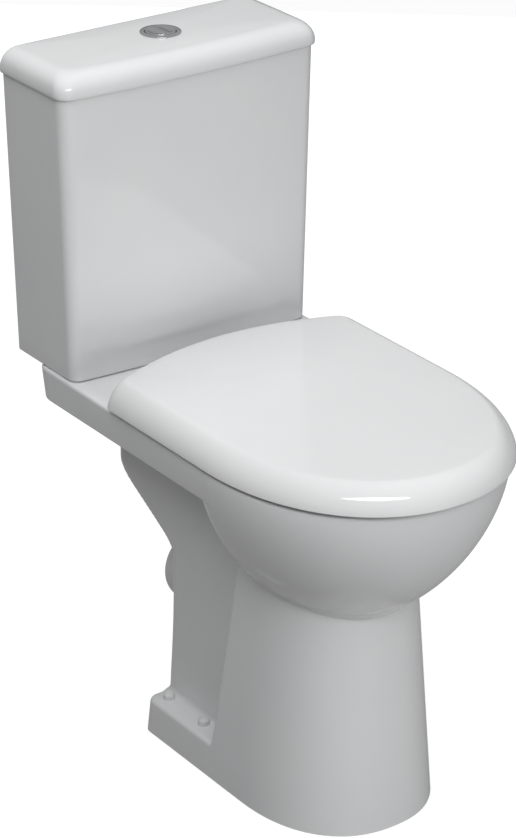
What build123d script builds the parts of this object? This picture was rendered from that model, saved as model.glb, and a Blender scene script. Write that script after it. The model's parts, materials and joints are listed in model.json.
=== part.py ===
"""Close coupled toilet: ceramic pan and cistern, seat with cover, dual flush valve and fill valve.

Millimetres, +Z up. The bowl points to -Y and the wall is behind the cistern at +Y.
The origin is on the floor, in the middle of the object's depth and width.
"""
import os
from math import atan, copysign, cos, pi, radians, sin

from build123d import *

os.makedirs("parts", exist_ok=True)

# Whole object
depth = 651.0
rim_height = 470.0
rim_half_width = 180.0
wall_y = depth / 2
front_y = -depth / 2

# Clearances that fits share
running_gap = 0.05
sliding_gap = 0.5
loose_gap = 1.0
contact_gap = 0.3

# Pan: bowl
rim_setback = 11.0
rim_band = 8.0
rim_round = 5.0
bowl_front_length = 216.5
bowl_rear_length = 106.0
bowl_depth = 229.0
bowl_lean = 17.0
bowl_side_power = 1.6
bowl_front_power = 1.83
bowl_plan_power = 2.12
bowl_rear_power = 2.2
bowl_y = front_y + rim_setback + bowl_front_length
bowl_bottom_z = rim_height - bowl_depth

# Pan: round basin inside the bowl
basin_lead = 30.0
basin_margin = 40.0
basin_taper = 28.0
basin_shoulder = 45.0
basin_middle = 130.0
basin_depth = 208.0
throat_radius = 32.0
throat_depth = 20.0
basin_y = bowl_y - basin_lead
basin_radius = rim_half_width - basin_margin
basin_mid_radius = basin_radius - basin_taper
basin_shoulder_z = rim_height - basin_shoulder
basin_mid_z = rim_height - basin_middle
basin_floor_z = rim_height - basin_depth
throat_floor_z = basin_floor_z - throat_depth

# Pan: deck that carries seat and cistern
deck_step = 4.0
deck_wall_gap = 43.5
deck_thickness = 43.0
deck_side_draft = 1.5
deck_back_draft = 6.0
deck_corner = 24.0
deck_half_width = rim_half_width - deck_step
deck_back_y = wall_y - deck_wall_gap
deck_under_z = rim_height - deck_thickness

# Pan: pedestal and foot
foot_half_width = 118.0
foot_front_length = 153.0
foot_lag = 32.0
foot_wall_gap = 182.5
foot_height = 46.0
foot_corner = 14.0
foot_power = 2.29
pedestal_drop = 145.0
pedestal_draft = 0.071
pedestal_rear_floor = 70.0
pedestal_rear_top = 30.0
pedestal_wall = 12.0
pedestal_roof = 15.0
foot_centre_y = bowl_y + foot_lag
foot_back_y = wall_y - foot_wall_gap
pedestal_top_z = rim_height - pedestal_drop
pedestal_rear_floor_y = foot_centre_y + pedestal_rear_floor
pedestal_rear_top_y = foot_centre_y + pedestal_rear_top
pedestal_hollow_z = bowl_bottom_z - pedestal_roof

# Pan: trap column and outlet spigot
column_half_width = 82.0
column_lap = 6.0
column_setback = 2.0
column_neck_setback = 18.0
column_waist_z = 175.0
column_bend = 26.0
column_shelf_margin = 42.0
column_shelf_drop = 107.0
column_neck_drop = 64.0
column_roof = 16.0
column_front_y = foot_centre_y + column_lap
column_neck_y = foot_back_y - column_neck_setback
column_shelf_y = deck_back_y - column_shelf_margin
column_shelf_z = deck_under_z - column_shelf_drop
column_neck_z = column_shelf_z - column_neck_drop
column_hollow_z = column_neck_z - column_roof
spigot_radius = 51.0
spigot_wall = 8.0
spigot_bore_depth = 40.0
spigot_length = 54.0
spigot_flare = 8.0
spigot_flare_length = 20.0
spigot_reach = 48.0
spigot_z = 180.0
spigot_end_y = foot_back_y + spigot_reach
spigot_root_y = spigot_end_y - spigot_length

# Flush inlet of the pan and the coupling to the cistern
valve_wall_gap = 87.5
coupling_gap = 4.0
socket_radius = 37.0
socket_depth = 18.0
inlet_hole_radius = 27.0
inlet_hole_floor = 10.0
valve_y = wall_y - valve_wall_gap

# Floor fixing
floor_hole_radius = 4.5
floor_hole_margin = 23.0
floor_hole_setback = 25.0
cap_radius = 7.0
cap_height = 9.0
cap_wall = 1.5
floor_hole_x = foot_half_width - floor_hole_margin
floor_hole_rear_y = foot_back_y - floor_hole_setback
floor_hole_pitch = (floor_hole_rear_y - pedestal_rear_floor_y) * 2 / 3

# Cistern and its lid
cistern_step = 3.0
cistern_flare = 8.0
cistern_depth = 143.5
cistern_lean = 7.0
cistern_height = 356.0
cistern_bow = 6.7
cistern_floor_corner = 14.0
cistern_top_corner = 19.0
cistern_back_corner = 4.0
cistern_wall = 10.0
cistern_floor_thickness = 12.0
cistern_floor_half_width = deck_half_width - cistern_step
cistern_top_half_width = cistern_floor_half_width + cistern_flare
cistern_top_front_y = wall_y - cistern_depth
cistern_floor_front_y = cistern_top_front_y + cistern_lean
cistern_foot_z = rim_height + coupling_gap
cistern_floor_z = cistern_foot_z + cistern_floor_thickness
cistern_top_z = cistern_foot_z + cistern_height
lid_overhang = 4.0
lid_height = 31.0
lid_edge = 26.0
lid_back_edge = 6.0
lid_top_thickness = 9.0
lid_lip_thickness = 6.0
lid_lip_depth = 8.0
lid_back_setback = 2.0
cistern_back_y = wall_y - lid_back_setback
lid_top_z = cistern_top_z + lid_height
wall_hole_radius = 5.0
wall_hole_spacing = 240.0
wall_hole_drop = 60.0
wall_hole_z = cistern_top_z - wall_hole_drop

# Seat ring and seat cover
cover_overhang = 4.5
cover_front_length = 232.5
cover_rear_gap = 42.0
cover_corner = 16.0
cover_bow = 32.0
cover_power = 2.13
cover_height = 37.5
cover_edge_width = 25.5
cover_edge_power = 1.5
cover_rear_share = 0.2
cover_wall = 5.0
cover_top_thickness = 6.0
cover_floor_gap = 4.5
cover_half_width = rim_half_width + cover_overhang
cover_y = front_y + cover_front_length
cover_back_y = cistern_floor_front_y - cover_rear_gap
cover_foot_z = rim_height + cover_floor_gap
cover_top_z = cover_foot_z + cover_height
ring_thickness = 20.0
ring_floor_gap = 4.0
ring_cover_gap = 8.0
ring_round = 6.0
ring_hole_margin = 68.0
ring_hole_lead = 17.0
ring_hole_front = 140.0
ring_hole_rear = 125.0
ring_hole_half_width = rim_half_width - ring_hole_margin
ring_hole_y = bowl_y - ring_hole_lead
ring_foot_z = rim_height + ring_floor_gap
ring_top_z = ring_foot_z + ring_thickness
bumper_radius = 8.0
bumper_side_inset = 27.5
bumper_front_inset = 4.25
bumper_front_setback = 59.5
bumper_rear_lag = 53.0
bumper_rear_x = cover_half_width - bumper_side_inset
bumper_rear_y = cover_y + bumper_rear_lag
bumper_front_x = cover_half_width / 2 - bumper_front_inset
bumper_front_y = front_y + bumper_front_setback
cover_bumper_radius = 6.0
cover_bumper_side_inset = 44.5
cover_bumper_front_inset = 14.25
cover_bumper_front_setback = 71.5
cover_bumper_rear_x = cover_half_width - cover_bumper_side_inset
cover_bumper_front_x = cover_half_width / 2 - cover_bumper_front_inset
cover_bumper_front_y = front_y + cover_bumper_front_setback

# Seat hinge
hinge_setback = 15.0
hinge_height = 19.0
hinge_x = 77.5
hinge_barrel_radius = 9.0
hinge_post_width = 25.0
hinge_ear_width = 12.0
hinge_pin_radius = 3.5
hinge_swing_gap = 20.0
hinge_trim = 10.0
cover_ear_web = 6.0
stud_radius = 4.0
stud_engagement = 8.0
bush_radius = 7.0
bush_length = 30.0
hinge_y = cover_back_y - hinge_setback
hinge_z = rim_height + hinge_height
cover_ear_height = cover_top_z - cover_top_thickness / 2 - hinge_z

# Flush button
button_lag = 20.0
bezel_radius = 25.0
bezel_flange = 2.5
bezel_collar_radius = 21.5
bezel_collar_length = 24.0
bezel_bore = 19.0
bezel_nut_radius = 28.0
bezel_nut_height = 6.0
button_radius = 18.5
button_thickness = 10.0
button_proud = 0.8
button_split = 1.0
rod_radius = 3.0
rod_x = 9.0
button_y = valve_y + button_lag

# Flush valve
tail_radius = 28.0
tail_bore = 24.0
tail_reach = 14.0
gasket_thickness = 2.0
gasket_radius = 35.0
plate_radius = 26.0
plate_thickness = 3.0
base_radius = 36.0
base_thickness = 6.0
seat_height = 8.0
seat_wall = 3.0
backnut_radius = 33.0
backnut_height = 10.0
basket_height = 68.0
basket_wall = 3.0
basket_window_width = 26.0
basket_window_margin = 10.0
collar_thickness = 4.0
mast_x = 24.0
mast_thickness = 6.0
mast_depth = 16.0
head_height = 226.0
head_thickness = 6.0
head_half_width = 45.0
head_front_reach = 20.0
head_back_reach = 12.0
overflow_radius = 14.0
overflow_wall = 2.0
overflow_rise = 52.0
seal_radius = 29.0
seal_thickness = 3.0
sleeve_wall = 2.5
sleeve_drop = 125.0
rocker_pivot_x = 36.0
rocker_reach_x = 66.0
rocker_width = 6.0
rocker_depth = 5.0
rocker_end = 4.0
rocker_rise = 22.0
rocker_pin_radius = 2.0
lug_thickness = 5.0
lug_half_width = 4.0
yoke_thickness = 5.0
yoke_half_width = 4.0
yoke_rise = 45.0
tail_end_z = rim_height - tail_reach
head_z = cistern_foot_z + head_height
head_front_y = valve_y - head_front_reach
head_back_y = button_y + head_back_reach
overflow_top_z = head_z + overflow_rise
sleeve_foot_z = head_z - sleeve_drop
rocker_pivot_z = head_z + rocker_rise
yoke_top_z = head_z + yoke_rise

# Coupling bolts between cistern and pan
bolt_x = 104.0
bolt_radius = 4.0
bolt_hole_radius = 6.0
bolt_head_radius = 7.0
bolt_head_height = 5.0
bolt_seal_radius = 12.0
bolt_seal_thickness = 3.0
plate_washer_radius = 11.0
plate_washer_thickness = 2.0
wing_nut_radius = 7.0
wing_nut_height = 9.0
wing_reach = 15.0
wing_thickness = 3.0
bolt_tail = 8.0

# Fill valve
inlet_margin = 27.0
inlet_back_gap = 25.5
inlet_radius = 10.5
inlet_bore = 5.0
inlet_drop = 38.0
inlet_tail_length = 26.0
inlet_shoulder = 1.5
inlet_shank_radius = 11.5
inlet_flange_radius = 15.0
inlet_flange_thickness = 5.0
inlet_nut_radius = 17.0
inlet_nut_height = 9.0
riser_radius = 9.0
fill_head_rise = 268.0
fill_head_height = 34.0
fill_head_width = 24.0
fill_head_front_reach = 22.0
fill_head_back_reach = 12.0
float_shift = 10.0
float_width = 46.0
float_length = 58.0
float_lead = 18.0
float_height = 62.0
float_round = 6.0
float_drop = 112.0
guide_radius = 13.0
guide_height = 12.0
lever_pivot_lead = 30.0
lever_reach = 40.0
lever_rise = 17.0
lever_width = 8.0
lever_depth = 8.0
lever_end = 6.0
lever_lug_thickness = 4.0
lever_lug_height = 18.0
lever_pin_radius = 2.0
spindle_radius = 3.0
inlet_x = cistern_floor_half_width - inlet_margin
inlet_y = cistern_back_y - inlet_back_gap
inlet_tail_z = cistern_foot_z - inlet_drop
fill_head_z = cistern_foot_z + fill_head_rise
fill_head_front_y = inlet_y - fill_head_front_reach
fill_head_back_y = inlet_y + fill_head_back_reach
float_x = inlet_x - float_shift
float_back_y = inlet_y - float_lead
float_front_y = float_back_y - float_length
float_foot_z = fill_head_z - float_drop
lever_pivot_y = inlet_y - lever_pivot_lead
lever_pivot_z = fill_head_z + lever_rise
lever_contact_y = lever_pivot_y - lever_reach


def half_outline(half_width, length, power, centre_y, steps=10):
    """Half superellipse from +X round to -X, square to the sides; a negative length points to the front."""
    points = []
    for i in range(steps + 1):
        angle = pi * i / steps
        x = half_width * copysign(abs(cos(angle)) ** (2 / power), cos(angle))
        y = centre_y + length * abs(sin(angle)) ** (2 / power)
        points.append((x, y))
    leave = copysign(1, length)
    Spline(*points, tangents=[(0, leave), (0, -leave)], tangent_scalars=[1, 1])


def egg(half_width, front, rear, centre_y, front_power, rear_power):
    """Closed outline of two half superellipses that meet at the widest point."""
    half_outline(half_width, -front, front_power, centre_y)
    half_outline(half_width, rear, rear_power, centre_y)


def rear_end(half_width, side_y, back_y, corner, bow, flare=0):
    """Sides, rounded rear corners and a bowed back that close an outline behind side_y."""
    slope = 2 * atan(bow / (half_width - corner))
    end_x = half_width - corner * (1 - sin(slope))
    end_y = back_y - bow
    corner_y = end_y - corner * cos(slope)
    middle = (pi / 2 - slope) / 2
    for side in (-1, 1):
        Line((side * (half_width + flare), side_y), (side * half_width, corner_y))
        ThreePointArc(
            (side * half_width, corner_y),
            (side * (half_width - corner * (1 - cos(middle))), corner_y + corner * sin(middle)),
            (side * end_x, end_y),
        )
    if bow > 0:
        ThreePointArc((-end_x, end_y), (0, back_y), (end_x, end_y))
    else:
        Line((-end_x, end_y), (end_x, end_y))


def d_outline(half_width, front, centre_y, back_y, power, corner, bow=0):
    """Closed outline with a superelliptic front, straight sides and a rounded rear end."""
    half_outline(half_width, -front, power, centre_y)
    rear_end(half_width, centre_y, back_y, corner, bow)


def tank_outline(half_width, front, back, corner):
    """Closed outline of the cistern: a bowed front, two front and two small rear corners."""
    inner = half_width - corner
    side_y = front + cistern_bow + corner
    bend = corner * (1 - sin(pi / 4))
    ThreePointArc((-inner, front + cistern_bow), (0, front), (inner, front + cistern_bow))
    for side in (-1, 1):
        ThreePointArc(
            (side * inner, front + cistern_bow),
            (side * (half_width - bend), front + cistern_bow + bend),
            (side * half_width, side_y),
        )
    rear_end(half_width, side_y, back, cistern_back_corner, 0)


def cistern_section(z, inset):
    """Outline of the cistern at height z, drawn in by inset."""
    share = (z - cistern_foot_z) / (cistern_top_z - cistern_foot_z)
    half_width = cistern_floor_half_width + share * (cistern_top_half_width - cistern_floor_half_width)
    front = cistern_floor_front_y + share * (cistern_top_front_y - cistern_floor_front_y)
    corner = cistern_floor_corner + share * (cistern_top_corner - cistern_floor_corner)
    tank_outline(half_width - inset, front + inset, cistern_back_y - inset, corner)


def lid_section(inset, back_inset):
    """Outline of the lid, drawn in by inset at front and sides."""
    tank_outline(
        cistern_top_half_width + lid_overhang - inset,
        cistern_top_front_y - lid_overhang + inset,
        wall_y - back_inset,
        cistern_top_corner,
    )


def bowl_section(angle):
    """Egg outline of the bowl where its side has turned by angle."""
    fall = sin(angle) ** (2 / bowl_side_power)
    side = cos(angle) ** (2 / bowl_side_power)
    nose = (1 - fall**bowl_front_power) ** (1 / bowl_front_power)
    egg(
        rim_half_width * side,
        bowl_front_length * nose,
        bowl_rear_length * side,
        bowl_y + bowl_lean * fall,
        bowl_plan_power,
        bowl_rear_power,
    )


def bowl_height(angle):
    """Height at which the side of the bowl has turned by angle."""
    fall = sin(angle) ** (2 / bowl_side_power)
    return rim_height - rim_band - fall * (rim_height - rim_band - bowl_bottom_z)


def pedestal_section(z, wall):
    """Outline of the pedestal at height z, drawn in by wall."""
    inset = pedestal_draft * z + wall
    share = z / pedestal_top_z
    rear = pedestal_rear_floor_y + share * (pedestal_rear_top_y - pedestal_rear_floor_y)
    d_outline(
        foot_half_width - inset,
        foot_front_length - inset,
        foot_centre_y,
        rear - wall,
        foot_power,
        foot_corner,
    )


def seat_outline(edge, wall=0):
    """Outline of the seat cover drawn in by wall and by the round of its edge, which is steep at the back."""
    d_outline(
        cover_half_width - edge - wall,
        cover_front_length - edge - wall,
        cover_y,
        cover_back_y - cover_rear_share * edge - wall,
        cover_power,
        cover_corner,
        cover_bow,
    )


def ring_hole(flare):
    """Egg-shaped hole of the seat ring, widened by flare."""
    egg(
        ring_hole_half_width + flare,
        ring_hole_front + flare,
        ring_hole_rear + flare,
        ring_hole_y,
        bowl_plan_power,
        bowl_rear_power,
    )


def edge_inset(angle):
    """How far the seat cover has drawn in where its edge has turned by angle."""
    return cover_edge_width * (1 - abs(cos(angle)) ** (2 / cover_edge_power))


def edge_rise(angle):
    """Share of the seat cover's height where its edge has turned by angle."""
    return sin(angle) ** (2 / cover_edge_power)


def tube(outer, bore):
    """Flat ring with the given radii."""
    Circle(outer)
    Circle(bore, mode=Mode.SUBTRACT)


def finish(piece, name):
    """Name a finished piece and write it to its own file."""
    piece.part.label = name
    export_step(piece.part, f"parts/{name}.step")


UP = (0, 0, 1)
bowl_turns = [radians(a) for a in (0, 14, 28, 42, 55, 66, 75)]
edge_turns = [radians(a) for a in (0, 22, 42, 60, 76, 90)]
lid_turns = [radians(a) for a in (0, 30, 60, 90)]

# Ceramic column behind the bowl that holds the trap and props up the deck
with BuildPart() as trap_column:
    with BuildSketch(Plane.YZ):
        with BuildLine():
            FilletPolyline(
                (foot_back_y - column_setback, 0),
                (column_neck_y, column_waist_z),
                (column_neck_y, column_neck_z),
                (column_shelf_y, column_shelf_z),
                (column_shelf_y, deck_under_z + rim_band),
                radius=column_bend,
            )
            Polyline(
                (column_shelf_y, deck_under_z + rim_band),
                (column_front_y, deck_under_z + rim_band),
                (column_front_y, 0),
                (foot_back_y - column_setback, 0),
            )
        make_face()
    extrude(amount=column_half_width, both=True)

# Hollow underside of pedestal and column
with BuildPart() as underside:
    for z in (0, pedestal_hollow_z):
        with BuildSketch(Plane.XY.offset(z)):
            with BuildLine():
                pedestal_section(z, pedestal_wall)
            make_face()
    loft()
    with BuildSketch():
        with Locations((0, (pedestal_rear_top_y + column_neck_y) / 2 - pedestal_wall)):
            Rectangle(2 * (column_half_width - pedestal_wall), column_neck_y - pedestal_rear_top_y)
    extrude(amount=column_hollow_z, dir=UP)

# Round inside of the bowl, from the rim down to the floor of the throat
with BuildPart() as basin:
    with BuildSketch(Plane.YZ):
        with BuildLine():
            Polyline(
                (basin_y, throat_floor_z),
                (basin_y, rim_height + loose_gap),
                (basin_y + basin_radius, rim_height + loose_gap),
                (basin_y + basin_radius, basin_shoulder_z),
            )
            ThreePointArc(
                (basin_y + basin_radius, basin_shoulder_z),
                (basin_y + basin_mid_radius, basin_mid_z),
                (basin_y + throat_radius, basin_floor_z),
            )
            Polyline(
                (basin_y + throat_radius, basin_floor_z),
                (basin_y + throat_radius, throat_floor_z),
                (basin_y, throat_floor_z),
            )
        make_face()
    revolve(axis=Axis((0, basin_y, 0), UP))

# Outer form of the bowl: egg-shaped sections that close in towards the bottom
with BuildPart() as bowl:
    for angle in bowl_turns:
        with BuildSketch(Plane.XY.offset(bowl_height(angle))):
            with BuildLine():
                bowl_section(angle)
            make_face()
    loft()
    add(basin.part, mode=Mode.SUBTRACT)

# Pedestal, foot, trap column, spigot and deck
with BuildPart() as stand:
    for z in (0, pedestal_top_z):
        with BuildSketch(Plane.XY.offset(z)):
            with BuildLine():
                pedestal_section(z, 0)
            make_face()
    loft()
    for z in (0, foot_height):
        inset = pedestal_draft * z
        with BuildSketch(Plane.XY.offset(z)):
            with BuildLine():
                rear_end(foot_half_width - inset, foot_centre_y, foot_back_y - inset, foot_corner, 0)
                Line((inset - foot_half_width, foot_centre_y), (foot_half_width - inset, foot_centre_y))
            make_face()
    loft()
    add(trap_column.part)
    with BuildSketch(Plane.XZ.offset(-spigot_end_y)):
        with Locations((0, spigot_z)):
            Circle(spigot_radius)
    extrude(amount=spigot_length)
    for setback, radius in ((0, spigot_radius), (spigot_flare_length, spigot_radius + spigot_flare)):
        with BuildSketch(Plane.XZ.offset(setback - spigot_root_y)):
            with Locations((0, spigot_z)):
                Circle(radius)
    loft()
    add(underside.part, mode=Mode.SUBTRACT)
    for z, draft in ((deck_under_z, 1), (rim_height - rim_band, 0)):
        half_width = deck_half_width - draft * deck_side_draft
        with BuildSketch(Plane.XY.offset(z)):
            with BuildLine():
                rear_end(half_width, bowl_y, deck_back_y - draft * deck_back_draft, deck_corner, 0)
                Line((-half_width, bowl_y), (half_width, bowl_y))
            make_face()
    loft()
    with BuildSketch(Plane.XY.offset(rim_height - rim_band)):
        with BuildLine():
            half_outline(rim_half_width, -bowl_front_length, bowl_plan_power, bowl_y)
            rear_end(deck_half_width, bowl_y, deck_back_y, deck_corner, 0, rim_half_width - deck_half_width)
        make_face()
    extrude(amount=rim_band, dir=UP)
    fillet(stand.faces().sort_by(Axis.Z)[-1].edges(), rim_round)
    # Flush inlet: socket for the coupling washer and the hole below it
    with BuildSketch(Plane.XY.offset(rim_height - socket_depth)):
        with Locations((0, valve_y)):
            Circle(socket_radius)
    extrude(amount=socket_depth, dir=UP, mode=Mode.SUBTRACT)
    with BuildSketch(Plane.XY.offset(deck_under_z + inlet_hole_floor)):
        with Locations((0, valve_y)):
            Circle(inlet_hole_radius)
    extrude(amount=deck_thickness - inlet_hole_floor, dir=UP, mode=Mode.SUBTRACT)
    # Blind holes for the hinge bushes and through holes for the coupling bolts and floor screws
    with BuildSketch(Plane.XY.offset(rim_height - bush_length)):
        with Locations((-hinge_x, hinge_y), (hinge_x, hinge_y)):
            Circle(bush_radius + running_gap)
    extrude(amount=bush_length, dir=UP, mode=Mode.SUBTRACT)
    with BuildSketch(Plane.XY.offset(deck_under_z)):
        with Locations((-bolt_x, valve_y), (bolt_x, valve_y)):
            Circle(bolt_hole_radius)
    extrude(amount=deck_thickness, dir=UP, mode=Mode.SUBTRACT)
    with BuildSketch():
        with Locations((0, floor_hole_rear_y - floor_hole_pitch / 2)):
            with GridLocations(2 * floor_hole_x, floor_hole_pitch, 2, 2):
                Circle(floor_hole_radius)
    extrude(amount=foot_height, dir=UP, mode=Mode.SUBTRACT)
    with BuildSketch(Plane.XZ.offset(-spigot_end_y)):
        with Locations((0, spigot_z)):
            Circle(spigot_radius - spigot_wall)
    extrude(amount=spigot_bore_depth, mode=Mode.SUBTRACT)
    add(basin.part, mode=Mode.SUBTRACT)

with BuildPart() as pan:
    add(stand.part)
    add(bowl.part)
finish(pan, "pan")

# Caps over the floor screws
with BuildPart() as floor_screw_caps:
    with BuildSketch(Plane.XY.offset(foot_height)):
        with Locations((0, floor_hole_rear_y - floor_hole_pitch / 2)):
            with GridLocations(2 * floor_hole_x, floor_hole_pitch, 2, 2):
                Circle(cap_radius)
    extrude(amount=cap_height, dir=UP)
    chamfer(floor_screw_caps.faces().group_by(Axis.Z)[-1].edges(), cap_wall)
    with BuildSketch(Plane.XY.offset(foot_height)):
        with Locations((0, floor_hole_rear_y - floor_hole_pitch / 2)):
            with GridLocations(2 * floor_hole_x, floor_hole_pitch, 2, 2):
                Circle(cap_radius - cap_wall)
    extrude(amount=cap_height - 2 * cap_wall, dir=UP, mode=Mode.SUBTRACT)
finish(floor_screw_caps, "floor_screw_caps")

# Cistern: tapered tank with a bowed front, open at the top
with BuildPart() as cistern:
    for z in (cistern_foot_z, cistern_top_z):
        with BuildSketch(Plane.XY.offset(z)):
            with BuildLine():
                cistern_section(z, 0)
            make_face()
    loft()
    for z in (cistern_floor_z, cistern_top_z + loose_gap):
        with BuildSketch(Plane.XY.offset(z)):
            with BuildLine():
                cistern_section(z, cistern_wall)
            make_face()
    loft(mode=Mode.SUBTRACT)
    with BuildSketch(Plane.XY.offset(cistern_foot_z)):
        with Locations((0, valve_y)):
            Circle(tail_radius + loose_gap)
        with Locations((-bolt_x, valve_y), (bolt_x, valve_y)):
            Circle(bolt_hole_radius)
        with Locations((inlet_x, inlet_y)):
            Circle(inlet_shank_radius + loose_gap)
    extrude(amount=cistern_floor_thickness, dir=UP, mode=Mode.SUBTRACT)
    with BuildSketch(Plane.XZ.offset(-cistern_back_y)):
        with Locations((-wall_hole_spacing / 2, wall_hole_z), (wall_hole_spacing / 2, wall_hole_z)):
            Circle(wall_hole_radius)
    extrude(amount=cistern_wall, mode=Mode.SUBTRACT)
finish(cistern, "cistern")

# Lid: rounded shell with a lip that drops into the cistern
lid_lip_inset = lid_overhang + cistern_wall + loose_gap
with BuildPart() as cistern_lid:
    with BuildSketch(Plane.XY.offset(cistern_top_z)):
        with BuildLine():
            lid_section(0, 0)
        make_face()
    for angle in lid_turns:
        with BuildSketch(Plane.XY.offset(lid_top_z - lid_edge * (1 - sin(angle)))):
            with BuildLine():
                lid_section(lid_edge * (1 - cos(angle)), lid_back_edge * (1 - cos(angle)))
            make_face()
    loft(ruled=True)
    with BuildSketch(Plane.XY.offset(cistern_top_z - lid_lip_depth)):
        with BuildLine():
            lid_section(lid_lip_inset, lid_back_setback + cistern_wall + loose_gap)
        make_face()
    extrude(amount=lid_lip_depth + lid_lip_thickness, dir=UP)
    pocket_inset = lid_lip_inset + lid_lip_thickness
    with BuildSketch(Plane.XY.offset(cistern_top_z - lid_lip_depth)):
        with BuildLine():
            lid_section(pocket_inset, lid_back_setback + cistern_wall + loose_gap + lid_lip_thickness)
        make_face()
    extrude(amount=lid_height + lid_lip_depth - lid_top_thickness, dir=UP, mode=Mode.SUBTRACT)
    with BuildSketch(Plane.XY.offset(lid_top_z - lid_top_thickness)):
        with Locations((0, button_y)):
            Circle(bezel_collar_radius + sliding_gap)
    extrude(amount=lid_top_thickness, dir=UP, mode=Mode.SUBTRACT)
finish(cistern_lid, "cistern_lid")

# Seat ring with its hinge ears; the notches clear the hinge posts and the ears of the cover
ring_ear_x = hinge_x - hinge_post_width / 2 - loose_gap - hinge_ear_width / 2
cover_ear_x = hinge_x + hinge_post_width / 2 + loose_gap + hinge_ear_width / 2
notch_inner_x = hinge_x - hinge_post_width / 2 - loose_gap
notch_outer_x = cover_ear_x + hinge_ear_width / 2 + loose_gap
trim_front_y = hinge_y - hinge_barrel_radius - loose_gap
with BuildPart() as seat_ring:
    with BuildSketch(Plane.XY.offset(ring_foot_z)):
        with BuildLine():
            seat_outline(0, cover_wall + ring_cover_gap)
        make_face()
    extrude(amount=ring_thickness, dir=UP)
    fillet(seat_ring.faces().sort_by(Axis.Z)[-1].edges(), ring_round)
    with BuildSketch(Plane.XY.offset(ring_foot_z)):
        with BuildLine():
            ring_hole(0)
        make_face()
    extrude(amount=ring_thickness, dir=UP, mode=Mode.SUBTRACT)
    for flare in (0, ring_round):
        with BuildSketch(Plane.XY.offset(ring_top_z - ring_round + flare)):
            with BuildLine():
                ring_hole(flare)
            make_face()
    loft(mode=Mode.SUBTRACT)
    with BuildSketch(Plane.XY.offset(ring_foot_z)):
        for side in (-1, 1):
            with Locations((side * (notch_inner_x + notch_outer_x) / 2, hinge_y)):
                Rectangle(notch_outer_x - notch_inner_x, 2 * hinge_swing_gap)
    extrude(amount=ring_thickness, dir=UP, mode=Mode.SUBTRACT)
    for side in (-1, 1):
        with BuildSketch(Plane.YZ.offset(side * ring_ear_x - hinge_ear_width / 2)):
            with Locations((hinge_y, hinge_z)):
                Circle(hinge_barrel_radius)
        extrude(amount=hinge_ear_width)
        with BuildSketch(Plane.YZ.offset(side * ring_ear_x - hinge_ear_width / 2)):
            with Locations((hinge_y, hinge_z)):
                Circle(hinge_pin_radius + running_gap)
        extrude(amount=hinge_ear_width, mode=Mode.SUBTRACT)
finish(seat_ring, "seat_ring")

with BuildPart() as ring_bumpers:
    with BuildSketch(Plane.XY.offset(rim_height + contact_gap)):
        for side in (-1, 1):
            with Locations((side * bumper_rear_x, bumper_rear_y), (side * bumper_front_x, bumper_front_y)):
                Circle(bumper_radius)
    extrude(amount=ring_floor_gap - contact_gap, dir=UP)
finish(ring_bumpers, "ring_bumpers")

# Seat cover: thin dished shell that wraps over the ring, trimmed behind the hinge so that it can swing
with BuildPart() as seat_cover:
    for angle in edge_turns:
        with BuildSketch(Plane.XY.offset(cover_foot_z + cover_height * edge_rise(angle))):
            with BuildLine():
                seat_outline(edge_inset(angle))
            make_face()
    loft()
    for angle in edge_turns:
        drop = (cover_height - cover_top_thickness) * edge_rise(angle)
        with BuildSketch(Plane.XY.offset(cover_foot_z + drop)):
            with BuildLine():
                seat_outline(edge_inset(angle), cover_wall)
            make_face()
    loft(mode=Mode.SUBTRACT)
    with BuildSketch(Plane.XY.offset(cover_foot_z)):
        with Locations((0, (trim_front_y + wall_y) / 2)):
            Rectangle(2 * notch_outer_x, wall_y - trim_front_y)
    extrude(amount=hinge_z + hinge_trim - cover_foot_z, dir=UP, mode=Mode.SUBTRACT)
    for side in (-1, 1):
        with BuildSketch(Plane.YZ.offset(side * cover_ear_x - hinge_ear_width / 2)):
            with Locations((hinge_y, hinge_z)):
                Circle(hinge_barrel_radius)
            with Locations((hinge_y - hinge_barrel_radius, hinge_z)):
                Rectangle(cover_ear_web, cover_ear_height, align=(Align.MIN, Align.MIN))
        extrude(amount=hinge_ear_width)
        with BuildSketch(Plane.YZ.offset(side * cover_ear_x - hinge_ear_width / 2)):
            with Locations((hinge_y, hinge_z)):
                Circle(hinge_pin_radius + running_gap)
        extrude(amount=hinge_ear_width, mode=Mode.SUBTRACT)
finish(seat_cover, "seat_cover")

with BuildPart() as cover_bumpers:
    with BuildSketch(Plane.XY.offset(ring_top_z + contact_gap)):
        for side in (-1, 1):
            with Locations(
                (side * cover_bumper_rear_x, bumper_rear_y),
                (side * cover_bumper_front_x, cover_bumper_front_y),
            ):
                Circle(cover_bumper_radius)
    extrude(amount=cover_top_z - cover_top_thickness - ring_top_z - contact_gap, dir=UP)
finish(cover_bumpers, "cover_bumpers")

# Hinge posts on the deck, with the studs and rubber bushes that hold them and the pins they carry
with BuildPart() as hinge_posts:
    for side in (-1, 1):
        with BuildSketch(Plane.YZ.offset(side * hinge_x - hinge_post_width / 2)):
            with Locations((hinge_y, hinge_z)):
                Circle(hinge_barrel_radius)
            with Locations((hinge_y, (rim_height + hinge_z) / 2)):
                Rectangle(2 * hinge_barrel_radius, hinge_z - rim_height)
            with Locations((hinge_y, hinge_z)):
                Circle(hinge_pin_radius + running_gap, mode=Mode.SUBTRACT)
        extrude(amount=hinge_post_width)
    with BuildSketch(Plane.XY.offset(rim_height)):
        with Locations((-hinge_x, hinge_y), (hinge_x, hinge_y)):
            Circle(stud_radius + running_gap)
    extrude(amount=stud_engagement, dir=UP, mode=Mode.SUBTRACT)
finish(hinge_posts, "hinge_posts")

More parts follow.
